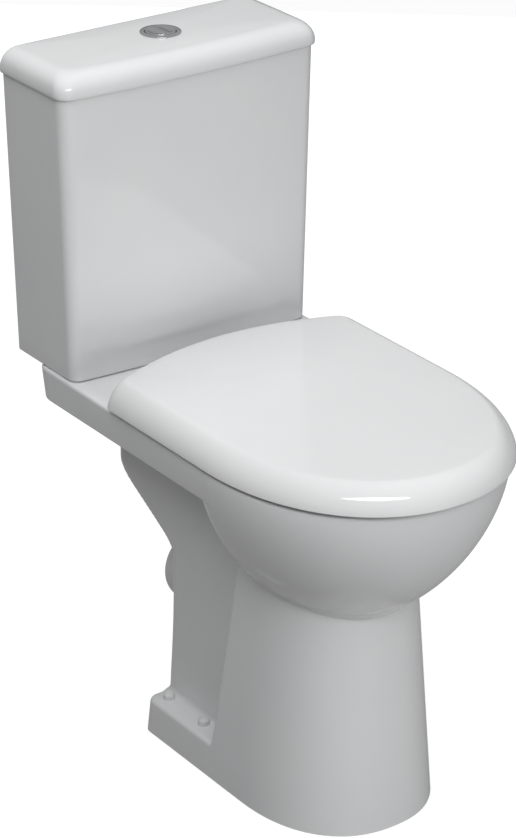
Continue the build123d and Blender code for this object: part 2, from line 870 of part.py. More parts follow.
with BuildPart() as hinge_studs:
    with BuildSketch(Plane.XY.offset(rim_height - bush_length)):
        with Locations((-hinge_x, hinge_y), (hinge_x, hinge_y)):
            Circle(stud_radius)
    extrude(amount=bush_length + stud_engagement, dir=UP)
finish(hinge_studs, "hinge_studs")

with BuildPart() as hinge_bushes:
    with BuildSketch(Plane.XY.offset(rim_height - bush_length)):
        with Locations((-hinge_x, hinge_y), (hinge_x, hinge_y)):
            tube(bush_radius, stud_radius + running_gap)
    extrude(amount=bush_length, dir=UP)
finish(hinge_bushes, "hinge_bushes")

pin_inner_x = ring_ear_x - hinge_ear_width / 2
pin_outer_x = cover_ear_x + hinge_ear_width / 2
with BuildPart() as hinge_pins:
    for start in (pin_inner_x, -pin_outer_x):
        with BuildSketch(Plane.YZ.offset(start)):
            with Locations((hinge_y, hinge_z)):
                Circle(hinge_pin_radius)
        extrude(amount=pin_outer_x - pin_inner_x)
finish(hinge_pins, "hinge_pins")

# Dual flush button in the lid: bezel, its nut below the lid, two half buttons and their push rods
with BuildPart() as button_bezel:
    with BuildSketch(Plane.XY.offset(lid_top_z)):
        with Locations((0, button_y)):
            tube(bezel_radius, bezel_bore)
    extrude(amount=bezel_flange, dir=UP)
    with BuildSketch(Plane.XY.offset(lid_top_z - bezel_collar_length)):
        with Locations((0, button_y)):
            tube(bezel_collar_radius, bezel_bore)
    extrude(amount=bezel_collar_length, dir=UP)
finish(button_bezel, "button_bezel")

with BuildPart() as bezel_nut:
    with BuildSketch(Plane.XY.offset(lid_top_z - lid_top_thickness - bezel_nut_height)):
        with Locations((0, button_y)):
            tube(bezel_nut_radius, bezel_collar_radius + running_gap)
    extrude(amount=bezel_nut_height, dir=UP)
finish(bezel_nut, "bezel_nut")

button_top_z = lid_top_z + bezel_flange + button_proud
button_foot_z = button_top_z - button_thickness
rocker_top_z = rocker_pivot_z + rocker_depth / 2
rod_foot_z = rocker_top_z + contact_gap


def half_button(side):
    """Half disc of the split button on one side."""
    with Locations((0, button_y)):
        Circle(button_radius)
    with Locations((side * (button_split - button_radius) / 2, button_y)):
        Rectangle(button_radius + button_split, 2 * button_radius + loose_gap, mode=Mode.SUBTRACT)


def push_rod(side):
    """Round section of the push rod on one side."""
    with Locations((side * rod_x, button_y)):
        Circle(rod_radius)


with BuildPart() as full_flush_button:
    with BuildSketch(Plane.XY.offset(button_foot_z)):
        half_button(1)
    extrude(amount=button_thickness, dir=UP)
finish(full_flush_button, "full_flush_button")

with BuildPart() as half_flush_button:
    with BuildSketch(Plane.XY.offset(button_foot_z)):
        half_button(-1)
    extrude(amount=button_thickness, dir=UP)
finish(half_flush_button, "half_flush_button")

with BuildPart() as full_flush_rod:
    with BuildSketch(Plane.XY.offset(rod_foot_z)):
        push_rod(1)
    extrude(amount=button_foot_z - rod_foot_z, dir=UP)
finish(full_flush_rod, "full_flush_rod")

with BuildPart() as half_flush_rod:
    with BuildSketch(Plane.XY.offset(rod_foot_z)):
        push_rod(-1)
    extrude(amount=button_foot_z - rod_foot_z, dir=UP)
finish(half_flush_rod, "half_flush_rod")

# Flush valve: base through the cistern floor, gasket, backnut and the washer that seals on the pan
valve_plane = Plane((0, valve_y, 0))
base_foot_z = cistern_floor_z + gasket_thickness
base_top_z = base_foot_z + base_thickness
seat_top_z = base_top_z + seat_height
with BuildPart() as flush_valve_base:
    with BuildSketch(valve_plane.offset(base_foot_z)):
        tube(base_radius, tail_bore)
    extrude(amount=base_thickness, dir=UP)
    with BuildSketch(valve_plane.offset(base_top_z)):
        tube(tail_bore + seat_wall, tail_bore)
    extrude(amount=seat_height, dir=UP)
    with BuildSketch(valve_plane.offset(tail_end_z)):
        tube(tail_radius, tail_bore)
    extrude(amount=base_foot_z - tail_end_z, dir=UP)
finish(flush_valve_base, "flush_valve_base")

with BuildPart() as flush_valve_gasket:
    with BuildSketch(valve_plane.offset(cistern_floor_z)):
        tube(gasket_radius, tail_radius + running_gap)
    extrude(amount=gasket_thickness, dir=UP)
finish(flush_valve_gasket, "flush_valve_gasket")

with BuildPart() as flush_valve_backnut:
    with BuildSketch(valve_plane.offset(cistern_foot_z - backnut_height)):
        tube(backnut_radius, tail_radius + running_gap)
    extrude(amount=backnut_height, dir=UP)
finish(flush_valve_backnut, "flush_valve_backnut")

with BuildPart() as coupling_washer:
    with BuildSketch(valve_plane.offset(rim_height - socket_depth)):
        tube(socket_radius - contact_gap, tail_radius + contact_gap)
    extrude(amount=socket_depth + coupling_gap, dir=UP)
    with BuildSketch(valve_plane.offset(cistern_foot_z - backnut_height)):
        Circle(backnut_radius + contact_gap)
    extrude(amount=backnut_height, dir=UP, mode=Mode.SUBTRACT)
finish(coupling_washer, "coupling_washer")

# Tower that guides the overflow tube: basket with windows, two masts and a head with pivot lugs
basket_top_z = base_top_z + basket_height
sleeve_radius = overflow_radius + sliding_gap + sleeve_wall
lug_gap = rocker_width / 2 + loose_gap
with BuildPart() as flush_valve_tower:
    with BuildSketch(valve_plane.offset(base_top_z)):
        tube(base_radius, base_radius - basket_wall)
    extrude(amount=basket_height, dir=UP)
    with BuildSketch(valve_plane.offset(basket_top_z - collar_thickness)):
        tube(base_radius, overflow_radius + sliding_gap)
    extrude(amount=collar_thickness, dir=UP)
    with BuildSketch(Plane.XY.offset(basket_top_z)):
        for side in (-1, 1):
            with Locations((side * (mast_x + mast_thickness / 2), valve_y)):
                Rectangle(mast_thickness, mast_depth)
    extrude(amount=head_z - basket_top_z, dir=UP)
    with BuildSketch(Plane.XY.offset(head_z)):
        with Locations((0, (head_front_y + head_back_y) / 2)):
            Rectangle(2 * head_half_width, head_back_y - head_front_y)
        with Locations((0, valve_y)):
            Circle(sleeve_radius + sliding_gap, mode=Mode.SUBTRACT)
    extrude(amount=head_thickness, dir=UP)
    with BuildSketch(Plane.XY.offset(head_z + head_thickness)):
        with Locations((0, button_y)):
            with GridLocations(2 * rocker_pivot_x, 2 * lug_gap + lug_thickness, 2, 2):
                Rectangle(2 * lug_half_width, lug_thickness)
    extrude(amount=rocker_pivot_z + lug_half_width - head_z - head_thickness, dir=UP)
    with BuildSketch(Plane.XZ.offset(-button_y - lug_gap - lug_thickness)):
        with Locations((-rocker_pivot_x, rocker_pivot_z), (rocker_pivot_x, rocker_pivot_z)):
            Circle(rocker_pin_radius + running_gap)
    extrude(amount=2 * (lug_gap + lug_thickness), mode=Mode.SUBTRACT)
    window_height = basket_height - 2 * basket_window_margin
    for window in (Plane.XZ, Plane.YZ):
        middle = Plane((0, valve_y, base_top_z + basket_height / 2), x_dir=window.x_dir, z_dir=window.z_dir)
        with BuildSketch(middle):
            Rectangle(basket_window_width, window_height)
        extrude(amount=base_radius + loose_gap, both=True, mode=Mode.SUBTRACT)
finish(flush_valve_tower, "flush_valve_tower")

# Overflow tube with its valve plate and the yoke that the full flush rocker lifts
seal_foot_z = seat_top_z + contact_gap
plate_foot_z = seal_foot_z + seal_thickness
yoke_foot_z = rocker_top_z + contact_gap
yoke_reach = rocker_reach_x + yoke_half_width
with BuildPart() as overflow_tube:
    with BuildSketch(valve_plane.offset(plate_foot_z)):
        Circle(overflow_radius)
    extrude(amount=overflow_top_z - plate_foot_z, dir=UP)
    with BuildSketch(valve_plane.offset(plate_foot_z)):
        Circle(plate_radius)
    extrude(amount=plate_thickness, dir=UP)
    with BuildSketch(Plane.XY.offset(yoke_top_z)):
        with Locations((yoke_reach / 2, valve_y)):
            Rectangle(yoke_reach, 2 * yoke_half_width)
        with Locations((rocker_reach_x, (valve_y + button_y) / 2)):
            Rectangle(2 * yoke_half_width, button_y - valve_y + rocker_width)
    extrude(amount=yoke_thickness, dir=UP)
    with BuildSketch(Plane.XY.offset(yoke_foot_z)):
        with Locations((rocker_reach_x, button_y)):
            Rectangle(2 * yoke_half_width, rocker_width)
    extrude(amount=yoke_top_z - yoke_foot_z, dir=UP)
    with BuildSketch(valve_plane.offset(plate_foot_z)):
        Circle(overflow_radius - overflow_wall)
    extrude(amount=overflow_top_z - plate_foot_z, dir=UP, mode=Mode.SUBTRACT)
finish(overflow_tube, "overflow_tube")

with BuildPart() as flush_seal:
    with BuildSketch(valve_plane.offset(seal_foot_z)):
        tube(seal_radius, overflow_radius - overflow_wall)
    extrude(amount=seal_thickness, dir=UP)
finish(flush_seal, "flush_seal")

# Sleeve that the half flush rocker lifts
with BuildPart() as half_flush_sleeve:
    with BuildSketch(valve_plane.offset(sleeve_foot_z)):
        Circle(sleeve_radius)
    extrude(amount=yoke_foot_z + yoke_thickness - sleeve_foot_z, dir=UP)
    with BuildSketch(Plane.XY.offset(yoke_foot_z)):
        with Locations((-yoke_reach / 2, valve_y)):
            Rectangle(yoke_reach, 2 * yoke_half_width)
        with Locations((-rocker_reach_x, (valve_y + button_y) / 2)):
            Rectangle(2 * yoke_half_width, button_y - valve_y + rocker_width)
    extrude(amount=yoke_thickness, dir=UP)
    with BuildSketch(valve_plane.offset(sleeve_foot_z)):
        Circle(overflow_radius + sliding_gap)
    extrude(amount=yoke_foot_z + yoke_thickness - sleeve_foot_z, dir=UP, mode=Mode.SUBTRACT)
finish(half_flush_sleeve, "half_flush_sleeve")


def rocker_profile(side):
    """Rocker seen from the front: a bar from the push rod past the pivot to the yoke."""
    inner = rod_x - rocker_end
    outer = rocker_reach_x + rocker_end
    with Locations((side * (inner + outer) / 2, rocker_pivot_z)):
        Rectangle(outer - inner, rocker_depth)
    with Locations((side * rocker_pivot_x, rocker_pivot_z)):
        Circle(rocker_pin_radius + running_gap, mode=Mode.SUBTRACT)


rocker_plane = Plane.XZ.offset(-button_y - rocker_width / 2)
with BuildPart() as full_flush_rocker:
    with BuildSketch(rocker_plane):
        rocker_profile(1)
    extrude(amount=rocker_width)
finish(full_flush_rocker, "full_flush_rocker")

with BuildPart() as half_flush_rocker:
    with BuildSketch(rocker_plane):
        rocker_profile(-1)
    extrude(amount=rocker_width)
finish(half_flush_rocker, "half_flush_rocker")

with BuildPart() as rocker_pins:
    with BuildSketch(Plane.XZ.offset(-button_y - lug_gap - lug_thickness)):
        with Locations((-rocker_pivot_x, rocker_pivot_z), (rocker_pivot_x, rocker_pivot_z)):
            Circle(rocker_pin_radius)
    extrude(amount=2 * (lug_gap + lug_thickness))
finish(rocker_pins, "rocker_pins")

# Two bolts that clamp the cistern to the deck, with their seals, washers and wing nuts
bolt_spots = [(-bolt_x, valve_y), (bolt_x, valve_y)]
bolt_head_z = cistern_floor_z + bolt_seal_thickness
washer_foot_z = deck_under_z - plate_washer_thickness
wing_nut_foot_z = washer_foot_z - wing_nut_height
with BuildPart() as coupling_bolts:
    with BuildSketch(Plane.XY.offset(bolt_head_z)):
        with Locations(*bolt_spots):
            RegularPolygon(bolt_head_radius, 6)
    extrude(amount=bolt_head_height, dir=UP)
    with BuildSketch(Plane.XY.offset(wing_nut_foot_z - bolt_tail)):
        with Locations(*bolt_spots):
            Circle(bolt_radius)
    extrude(amount=bolt_head_z - wing_nut_foot_z + bolt_tail, dir=UP)
finish(coupling_bolts, "coupling_bolts")

with BuildPart() as coupling_bolt_seals:
    with BuildSketch(Plane.XY.offset(cistern_floor_z)):
        with Locations(*bolt_spots):
            tube(bolt_seal_radius, bolt_radius + running_gap)
    extrude(amount=bolt_seal_thickness, dir=UP)
finish(coupling_bolt_seals, "coupling_bolt_seals")

with BuildPart() as coupling_plate_washers:
    with BuildSketch(Plane.XY.offset(washer_foot_z)):
        with Locations(*bolt_spots):
            tube(plate_washer_radius, bolt_radius + running_gap)
    extrude(amount=plate_washer_thickness, dir=UP)
finish(coupling_plate_washers, "coupling_plate_washers")

with BuildPart() as coupling_wing_nuts:
    with BuildSketch(Plane.XY.offset(wing_nut_foot_z)):
        with Locations(*bolt_spots):
            Circle(wing_nut_radius)
            Rectangle(wing_thickness, 2 * wing_reach)
            Circle(bolt_radius + running_gap, mode=Mode.SUBTRACT)
    extrude(amount=wing_nut_height, dir=UP)
finish(coupling_wing_nuts, "coupling_wing_nuts")

# Fill valve: inlet tail through the cistern floor, riser, head with lugs, float and lever
inlet_plane = Plane((inlet_x, inlet_y, 0))
shoulder_z = inlet_tail_z + inlet_tail_length
flange_foot_z = cistern_floor_z + gasket_thickness
flange_top_z = flange_foot_z + inlet_flange_thickness
lever_lug_x = lever_width / 2 + sliding_gap + lever_lug_thickness / 2
lug_reach = lever_pivot_y - lever_end
with BuildPart() as fill_valve_body:
    with BuildSketch(inlet_plane.offset(inlet_tail_z)):
        Circle(inlet_radius)
    extrude(amount=inlet_tail_length, dir=UP)
    for rise, radius in ((0, inlet_radius), (inlet_shoulder, inlet_shank_radius)):
        with BuildSketch(inlet_plane.offset(shoulder_z + rise)):
            Circle(radius)
    loft()
    with BuildSketch(inlet_plane.offset(shoulder_z + inlet_shoulder)):
        Circle(inlet_shank_radius)
    extrude(amount=flange_foot_z - shoulder_z - inlet_shoulder, dir=UP)
    with BuildSketch(inlet_plane.offset(flange_foot_z)):
        Circle(inlet_flange_radius)
    extrude(amount=inlet_flange_thickness, dir=UP)
    with BuildSketch(inlet_plane.offset(flange_top_z)):
        Circle(riser_radius)
    extrude(amount=fill_head_z - flange_top_z, dir=UP)
    with BuildSketch(Plane.XY.offset(fill_head_z)):
        with Locations((inlet_x, (fill_head_front_y + fill_head_back_y) / 2)):
            Rectangle(fill_head_width, fill_head_back_y - fill_head_front_y)
    extrude(amount=fill_head_height, dir=UP)
    with BuildSketch(Plane.XY.offset(lever_pivot_z - lever_lug_height / 2)):
        for side in (-1, 1):
            with Locations((inlet_x + side * lever_lug_x, (lug_reach + fill_head_front_y) / 2)):
                Rectangle(lever_lug_thickness, fill_head_front_y - lug_reach)
    extrude(amount=lever_lug_height, dir=UP)
    with BuildSketch(Plane.YZ.offset(inlet_x)):
        with Locations((lever_pivot_y, lever_pivot_z)):
            Circle(lever_pin_radius + running_gap)
    extrude(amount=fill_head_width, both=True, mode=Mode.SUBTRACT)
    with BuildSketch(inlet_plane.offset(inlet_tail_z)):
        Circle(inlet_bore)
    extrude(amount=fill_head_z - inlet_tail_z, dir=UP, mode=Mode.SUBTRACT)
finish(fill_valve_body, "fill_valve_body")

with BuildPart() as fill_valve_gasket:
    with BuildSketch(inlet_plane.offset(cistern_floor_z)):
        tube(inlet_flange_radius, inlet_shank_radius + running_gap)
    extrude(amount=gasket_thickness, dir=UP)
finish(fill_valve_gasket, "fill_valve_gasket")

with BuildPart() as fill_valve_backnut:
    with BuildSketch(inlet_plane.offset(cistern_foot_z - inlet_nut_height)):
        RegularPolygon(inlet_nut_radius, 6)
        Circle(inlet_shank_radius + running_gap, mode=Mode.SUBTRACT)
    extrude(amount=inlet_nut_height, dir=UP)
finish(fill_valve_backnut, "fill_valve_backnut")

# Float that climbs the riser as the water rises, with the spindle that lifts the lever
float_top_z = float_foot_z + float_height
lever_under_z = lever_pivot_z - lever_depth / 2
with BuildPart() as fill_valve_float:
    with BuildSketch(Plane.XY.offset(float_foot_z)):
        with Locations((float_x, (float_front_y + float_back_y) / 2)):
            RectangleRounded(float_width, float_back_y - float_front_y, float_round)
    extrude(amount=float_height, dir=UP)
    with BuildSketch(Plane.XY.offset(float_foot_z)):
        with Locations((inlet_x, inlet_y)):
            Circle(guide_radius)
        with Locations((inlet_x, (float_back_y + inlet_y) / 2)):
            Rectangle(guide_radius, inlet_y - float_back_y + loose_gap)
    extrude(amount=guide_height, dir=UP)
    with BuildSketch(inlet_plane.offset(float_foot_z)):
        Circle(riser_radius + sliding_gap)
    extrude(amount=guide_height, dir=UP, mode=Mode.SUBTRACT)
    with BuildSketch(Plane.XY.offset(float_top_z)):
        with Locations((inlet_x, lever_contact_y)):
            Circle(spindle_radius)
    extrude(amount=lever_under_z - contact_gap - float_top_z, dir=UP)
finish(fill_valve_float, "fill_valve_float")

with BuildPart() as fill_valve_lever:
    with BuildSketch(Plane.YZ.offset(inlet_x - lever_width / 2)):
        lever_front_y = lever_contact_y - lever_end
        lever_back_y = lever_pivot_y + lever_end
        with Locations(((lever_front_y + lever_back_y) / 2, lever_pivot_z)):
            Rectangle(lever_back_y - lever_front_y, lever_depth)
        with Locations((lever_pivot_y, lever_pivot_z)):
            Circle(lever_pin_radius + running_gap, mode=Mode.SUBTRACT)
    extrude(amount=lever_width)
finish(fill_valve_lever, "fill_valve_lever")

with BuildPart() as fill_valve_lever_pin:
    with BuildSketch(Plane.YZ.offset(inlet_x)):
        with Locations((lever_pivot_y, lever_pivot_z)):
            Circle(lever_pin_radius)
    extrude(amount=lever_lug_x + lever_lug_thickness / 2, both=True)
finish(fill_valve_lever_pin, "fill_valve_lever_pin")
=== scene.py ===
"""Looks of a close coupled toilet: glazed pan and cistern, wrap-over seat and chrome dual flush button.

Shapes are worked out in millimetres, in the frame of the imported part, and stored in metres.
"""

import json

import bpy
import numpy as np
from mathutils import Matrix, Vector


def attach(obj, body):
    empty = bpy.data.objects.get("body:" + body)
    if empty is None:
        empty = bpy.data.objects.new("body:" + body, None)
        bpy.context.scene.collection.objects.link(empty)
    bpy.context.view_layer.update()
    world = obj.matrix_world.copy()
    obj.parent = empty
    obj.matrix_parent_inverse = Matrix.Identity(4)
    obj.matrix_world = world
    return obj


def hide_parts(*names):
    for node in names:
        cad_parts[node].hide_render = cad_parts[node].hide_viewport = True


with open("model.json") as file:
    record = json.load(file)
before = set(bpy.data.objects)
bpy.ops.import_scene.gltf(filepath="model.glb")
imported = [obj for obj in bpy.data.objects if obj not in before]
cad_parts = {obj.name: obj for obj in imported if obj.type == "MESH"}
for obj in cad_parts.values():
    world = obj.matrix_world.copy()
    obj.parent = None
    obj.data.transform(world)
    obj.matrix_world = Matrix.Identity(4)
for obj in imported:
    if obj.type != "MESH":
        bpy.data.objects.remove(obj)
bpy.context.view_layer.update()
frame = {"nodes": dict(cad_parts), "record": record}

MM = 0.001

# Heights and places that several pieces share

rim_z = 470.0
deck_under_z = 427.0
foot_top_z = 46.0
pan_axis_y = -45.0
pan_taper = 0.071
pedestal_half_width = 118.0
pedestal_widest_y = -66.0
pedestal_top_z = 325.0
bowl_half_width = 180.0
bowl_widest_y = -98.0
bowl_side_power = 1.6
cistern_foot_z = 471.0
cistern_top_z = 830.0
cistern_back_y = 323.5
tank_bow = 6.7
lid_half_width = 185.0
lid_front_y = 179.0
lid_back_y = 325.5
lid_top_z = 861.0
button_y = 258.0
hinge_y = 132.0
hinge_z = 489.0
hinge_barrel_radius = 9.0

# Mesh building


def mesh_piece(name, points, faces, material, body, slot, nodes=(), sharp=40):
    """Object from points in millimetres and a face array, smooth except at edges sharper than sharp."""
    mesh = bpy.data.meshes.new(name)
    mesh.from_pydata((points * MM).tolist(), [], faces)
    mesh.polygons.foreach_set("use_smooth", np.ones(len(mesh.polygons), bool))
    mesh.set_sharp_from_angle(angle=np.radians(sharp))
    mesh.materials.append(material)
    piece = bpy.data.objects.new(name, mesh)
    bpy.context.scene.collection.objects.link(piece)
    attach(piece, body)
    if nodes:
        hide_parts(*nodes)
    return piece


def ring_faces(rows, columns, loop=False):
    """Quads between neighbouring rings of a stack; loop also joins the last ring to the first."""
    row = np.arange(rows if loop else rows - 1)[:, None]
    column = np.arange(columns)[None, :]
    after = (column + 1) % columns
    above = (row + 1) % rows
    quads = np.stack(
        np.broadcast_arrays(
            row * columns + column,
            row * columns + after,
            above * columns + after,
            above * columns + column,
        ),
        axis=-1,
    )
    return quads.reshape(-1, 4).tolist()


def stack_mesh(rings, loop=False):
    """Points and faces of a stack of closed rings (rows, columns, 3), with its two ends closed by fans.

    The rings run anticlockwise seen from above where the stack climbs the outside, so faces point outwards.
    """
    rows, columns, _ = rings.shape
    points = rings.reshape(-1, 3)
    faces = ring_faces(rows, columns, loop)
    if not loop:
        ends = np.stack([rings[0].mean(0), rings[-1].mean(0)])
        points = np.concatenate([points, ends])
        first, last = rows * columns, rows * columns + 1
        step = np.arange(columns)
        after = (step + 1) % columns
        top = (rows - 1) * columns
        faces += np.stack([np.full(columns, first), after, step], axis=-1).tolist()
        faces += np.stack([np.full(columns, last), top + step, top + after], axis=-1).tolist()
    return points, faces


def join_meshes(parts):
    """Several (points, faces) pairs put together as one."""
    points = []
    faces = []
    count = 0
    for part_points, part_faces in parts:
        points.append(part_points)
        faces += [[index + count for index in face] for face in part_faces]
        count += len(part_points)
    return np.concatenate(points), faces


def lathe(profile, centre, axis="Z", columns=96):
    """Rings of a profile of (radius, height) pairs turned about an axis through centre."""
    radius, height = np.asarray(profile, float).T
    turn = np.linspace(0, 2 * np.pi, columns, endpoint=False)
    across = radius[:, None] * np.cos(turn)
    along = radius[:, None] * np.sin(turn)
    up = np.broadcast_to(height[:, None], across.shape)
    order = {"Z": (across, along, up), "Y": (along, up, across), "X": (up, across, along)}[axis]
    return np.stack(order, axis=-1) + np.asarray(centre, float)


def rounded(corners, radius, steps=6):
    """Profile through corners with each inner corner replaced by a curve that starts radius before it.

    The curve is a quadratic one: (1-t)^2 start + 2t(1-t) corner + t^2 end.
    """
    corners = np.asarray(corners, float)
    before = corners[:-2] - corners[1:-1]
    after = corners[2:] - corners[1:-1]
    reach = np.minimum(np.hypot(*before.T), np.hypot(*after.T)) / 2
    size = np.minimum(np.broadcast_to(radius, reach.shape), reach)[:, None]
    start = corners[1:-1] + before / np.hypot(*before.T)[:, None] * size
    end = corners[1:-1] + after / np.hypot(*after.T)[:, None] * size
    t = np.linspace(0, 1, steps)[None, :, None]
    curve = (1 - t) ** 2 * start[:, None] + 2 * t * (1 - t) * corners[1:-1, None] + t**2 * end[:, None]
    return np.concatenate([corners[:1], curve.reshape(-1, 2), corners[-1:]])


def soft_max(a, b, width):
    """The larger of a and b, with the change from one to the other rounded over width."""
    share = np.clip(0.5 + 0.5 * (a - b) / width, 0, 1)
    return b + (a - b) * share + width * share * (1 - share)


def soft_min(a, b, width):
    """The smaller of a and b, with the change from one to the other rounded over width."""
    return -soft_max(-a, -b, width)


def ease(low, high, value):
    """Smooth step from 0 at low to 1 at high."""
    share = np.clip((value - low) / (high - low), 0, 1)
    return share * share * (3 - 2 * share)


# Materials


def node_material(name, **constants):
    """Material with a Principled shader whose constant sockets are set by name, with its tree and shader."""
    material = bpy.data.materials.new(name)
    material.use_nodes = True
    tree = material.node_tree
    shader = tree.nodes["Principled BSDF"]
    for socket, value in constants.items():
        shader.inputs[socket.replace("_", " ")].default_value = value
    return material, tree, shader


def noise(tree, scale, detail=3.0, stretch=(1, 1, 1)):
    """Noise texture on Object coordinates, with stretch for drawn or brushed finishes."""
    place = tree.nodes.new("ShaderNodeTexCoord")
    fit = tree.nodes.new("ShaderNodeMapping")
    fit.inputs["Scale"].default_value = stretch
    texture = tree.nodes.new("ShaderNodeTexNoise")
    texture.inputs["Scale"].default_value = scale
    texture.inputs["Detail"].default_value = detail
    tree.links.new(place.outputs["Object"], fit.inputs["Vector"])
    tree.links.new(fit.outputs["Vector"], texture.inputs["Vector"])
    return texture.outputs["Fac"]


def colour_between(tree, shader, factor, dark, light):
    """Base colour that goes from dark to light with factor."""
    ramp = tree.nodes.new("ShaderNodeValToRGB")
    stops = ((0.3, dark), (0.7, light))
    for element, (position, colour) in zip(ramp.color_ramp.elements, stops):
        element.position = position
        element.color = (*colour, 1)
    tree.links.new(factor, ramp.inputs["Fac"])
    tree.links.new(ramp.outputs["Color"], shader.inputs["Base Color"])


def roughness_between(tree, shader, factor, low, high):
    """Roughness that goes from low to high with factor."""
    span = tree.nodes.new("ShaderNodeMapRange")
    span.inputs["To Min"].default_value = low
    span.inputs["To Max"].default_value = high
    tree.links.new(factor, span.inputs["Value"])
    tree.links.new(span.outputs["Result"], shader.inputs["Roughness"])


def bump(tree, shader, factor, strength, distance):
    """Surface relief from factor; distance is in metres."""
    relief = tree.nodes.new("ShaderNodeBump")
    relief.inputs["Strength"].default_value = strength
    relief.inputs["Distance"].default_value = distance
    tree.links.new(factor, relief.inputs["Height"])
    tree.links.new(relief.outputs["Normal"], shader.inputs["Normal"])


def finish_material(name, dark, light, rough, tone_scale, grain_scale, grain, stretch=(1, 1, 1), **constants):
    """Finish with slow colour drift, uneven gloss and a fine surface grain."""
    material, tree, shader = node_material(name, **constants)
    grain_detail = 4.0
    grain_depth = 0.0002
    drift = noise(tree, tone_scale)
    fine = noise(tree, grain_scale, grain_detail, stretch)
    colour_between(tree, shader, drift, dark, light)
    roughness_between(tree, shader, fine, *rough)
    bump(tree, shader, fine, grain, grain_depth)
    return material


glaze = finish_material(
    "white_glaze", (0.74, 0.75, 0.76), (0.77, 0.775, 0.78), (0.02, 0.05), 6, 90, 0.02,
    IOR=1.55, Coat_Weight=0.6, Coat_Roughness=0.02,
)
seat_gloss = finish_material(
    "seat_gloss", (0.76, 0.765, 0.77), (0.78, 0.785, 0.79), (0.03, 0.06), 8, 140, 0.01, IOR=1.6,
)
hinge_gloss = finish_material(
    "hinge_gloss", (0.70, 0.705, 0.71), (0.74, 0.745, 0.75), (0.18, 0.28), 30, 400, 0.05, IOR=1.47,
)
chrome = finish_material(
    "polished_chrome", (0.80, 0.81, 0.83), (0.86, 0.87, 0.89), (0.06, 0.12), 40, 900, 0.02, Metallic=1.0,
)
steel = finish_material(
    "zinc_steel", (0.42, 0.43, 0.44), (0.56, 0.57, 0.58), (0.25, 0.42), 60, 1500, 0.1, (1, 1, 0.2),
    Metallic=1.0,
)
brass = finish_material(
    "turned_brass", (0.52, 0.38, 0.16), (0.66, 0.50, 0.24), (0.22, 0.36), 50, 1800, 0.1, (0.2, 0.2, 1),
    Metallic=1.0,
)
black_rubber = finish_material(
    "black_rubber", (0.018, 0.018, 0.019), (0.035, 0.035, 0.036), (0.55, 0.75), 80, 1200, 0.3,
)
pale_rubber = finish_material(
    "pale_rubber", (0.55, 0.55, 0.54), (0.64, 0.64, 0.62), (0.5, 0.68), 80, 1200, 0.25,
)
valve_plastic = finish_material(
    "valve_plastic", (0.60, 0.62, 0.64), (0.68, 0.70, 0.72), (0.32, 0.46), 25, 700, 0.12,
)
valve_blue = finish_material(
    "valve_blue", (0.10, 0.22, 0.42), (0.14, 0.28, 0.50), (0.30, 0.44), 25, 700, 0.12,
)

# Pan: one closed glazed casting


def pedestal_rear(z):
    """Where the widened part of the pedestal ends; it leans forward as it climbs."""
    floor_y = 4.0
    lean = 40.0
    return floor_y - lean * z / pedestal_top_z


def pedestal(x, y, z):
    """Distance from the pedestal: half a superellipse in front and straight sides behind.

    It tapers steadily. The rear edge is rounded above the foot and runs flush into it below.
    """
    power = 2.29
    front_length = 153.0
    sharp_edge = 0.2
    round_edge = 4.0
    edge_change = 24.0
    half_width = pedestal_half_width - pan_taper * z
    length = front_length - pan_taper * z
    ahead = np.minimum(y - pedestal_widest_y, 0)
    reach = ((np.abs(x) / half_width) ** power + (-ahead / length) ** power) ** (1 / power)
    outline = (reach - 1) * half_width
    edge = sharp_edge + (round_edge - sharp_edge) * ease(foot_top_z, foot_top_z + edge_change, z)
    outline = soft_max(outline, y - pedestal_rear(z), edge)
    return np.maximum(outline, z - pedestal_top_z)


def bowl_fall(z, power):
    """Way down the bowl from 0 to 1, and the share of its size that a superellipse leaves there."""
    top_z = 462.0
    depth = 221.0
    almost_down = 0.9999
    fall = np.clip((top_z - z) / depth, 0, almost_down)
    return fall, (1 - fall**power) ** (1 / power)


def bowl(x, y, z):
    """Distance from the bowl: egg-shaped sections that shrink along superellipses down to the bottom."""
    nose_power = 1.83
    front_length = 216.0
    front_power = 2.12
    rear_length = 106.0
    rear_power = 2.2
    lean = 17.0
    fall, side = bowl_fall(z, bowl_side_power)
    nose = bowl_fall(z, nose_power)[1]
    half_width = bowl_half_width * side
    across = np.abs(x) / half_width
    ahead = y - bowl_widest_y - lean * fall
    front = across**front_power + (np.maximum(-ahead, 0) / (front_length * nose)) ** front_power
    rear = across**rear_power + (np.maximum(ahead, 0) / (rear_length * side)) ** rear_power
    reach = np.where(ahead < 0, front ** (1 / front_power), rear ** (1 / rear_power))
    return (reach - 1) * half_width


def column_back(z):
    """Profile of the column's back: a slight lean, a straight neck, then a slope out to the shelf."""
    floor_y = 141.0
    neck_y = 125.0
    neck_z = 175.0
    neck_round = 6.0
    shelf_y = 240.0
    slope_foot_z = 256.0
    slope_top_z = 320.0
    shelf_round = 26.0
    lean = soft_max(floor_y - (floor_y - neck_y) * z / neck_z, neck_y, neck_round)
    slope = neck_y + (shelf_y - neck_y) * (z - slope_foot_z) / (slope_top_z - slope_foot_z)
    return soft_min(soft_max(lean, slope, shelf_round), shelf_y, shelf_round)


def column(x, y, z):
    """Distance from the trap column: flat sides, a profiled back and rounded rear edges."""
    half_width = 84.0
    front_y = -60.0
    rear_round = 8.0
    sides = soft_max(np.abs(x) - half_width, y - column_back(z), rear_round)
    return np.maximum(sides, front_y - y)


def rounded_box(x, y, half_width, back, corner):
    """Distance from a plate that ends at back with two round corners and has no front end."""
    across = np.abs(x) - (half_width - corner)
    along = y - (back - corner)
    outside = np.hypot(np.maximum(across, 0), np.maximum(along, 0))
    return outside + np.minimum(np.maximum(across, along), 0) - corner


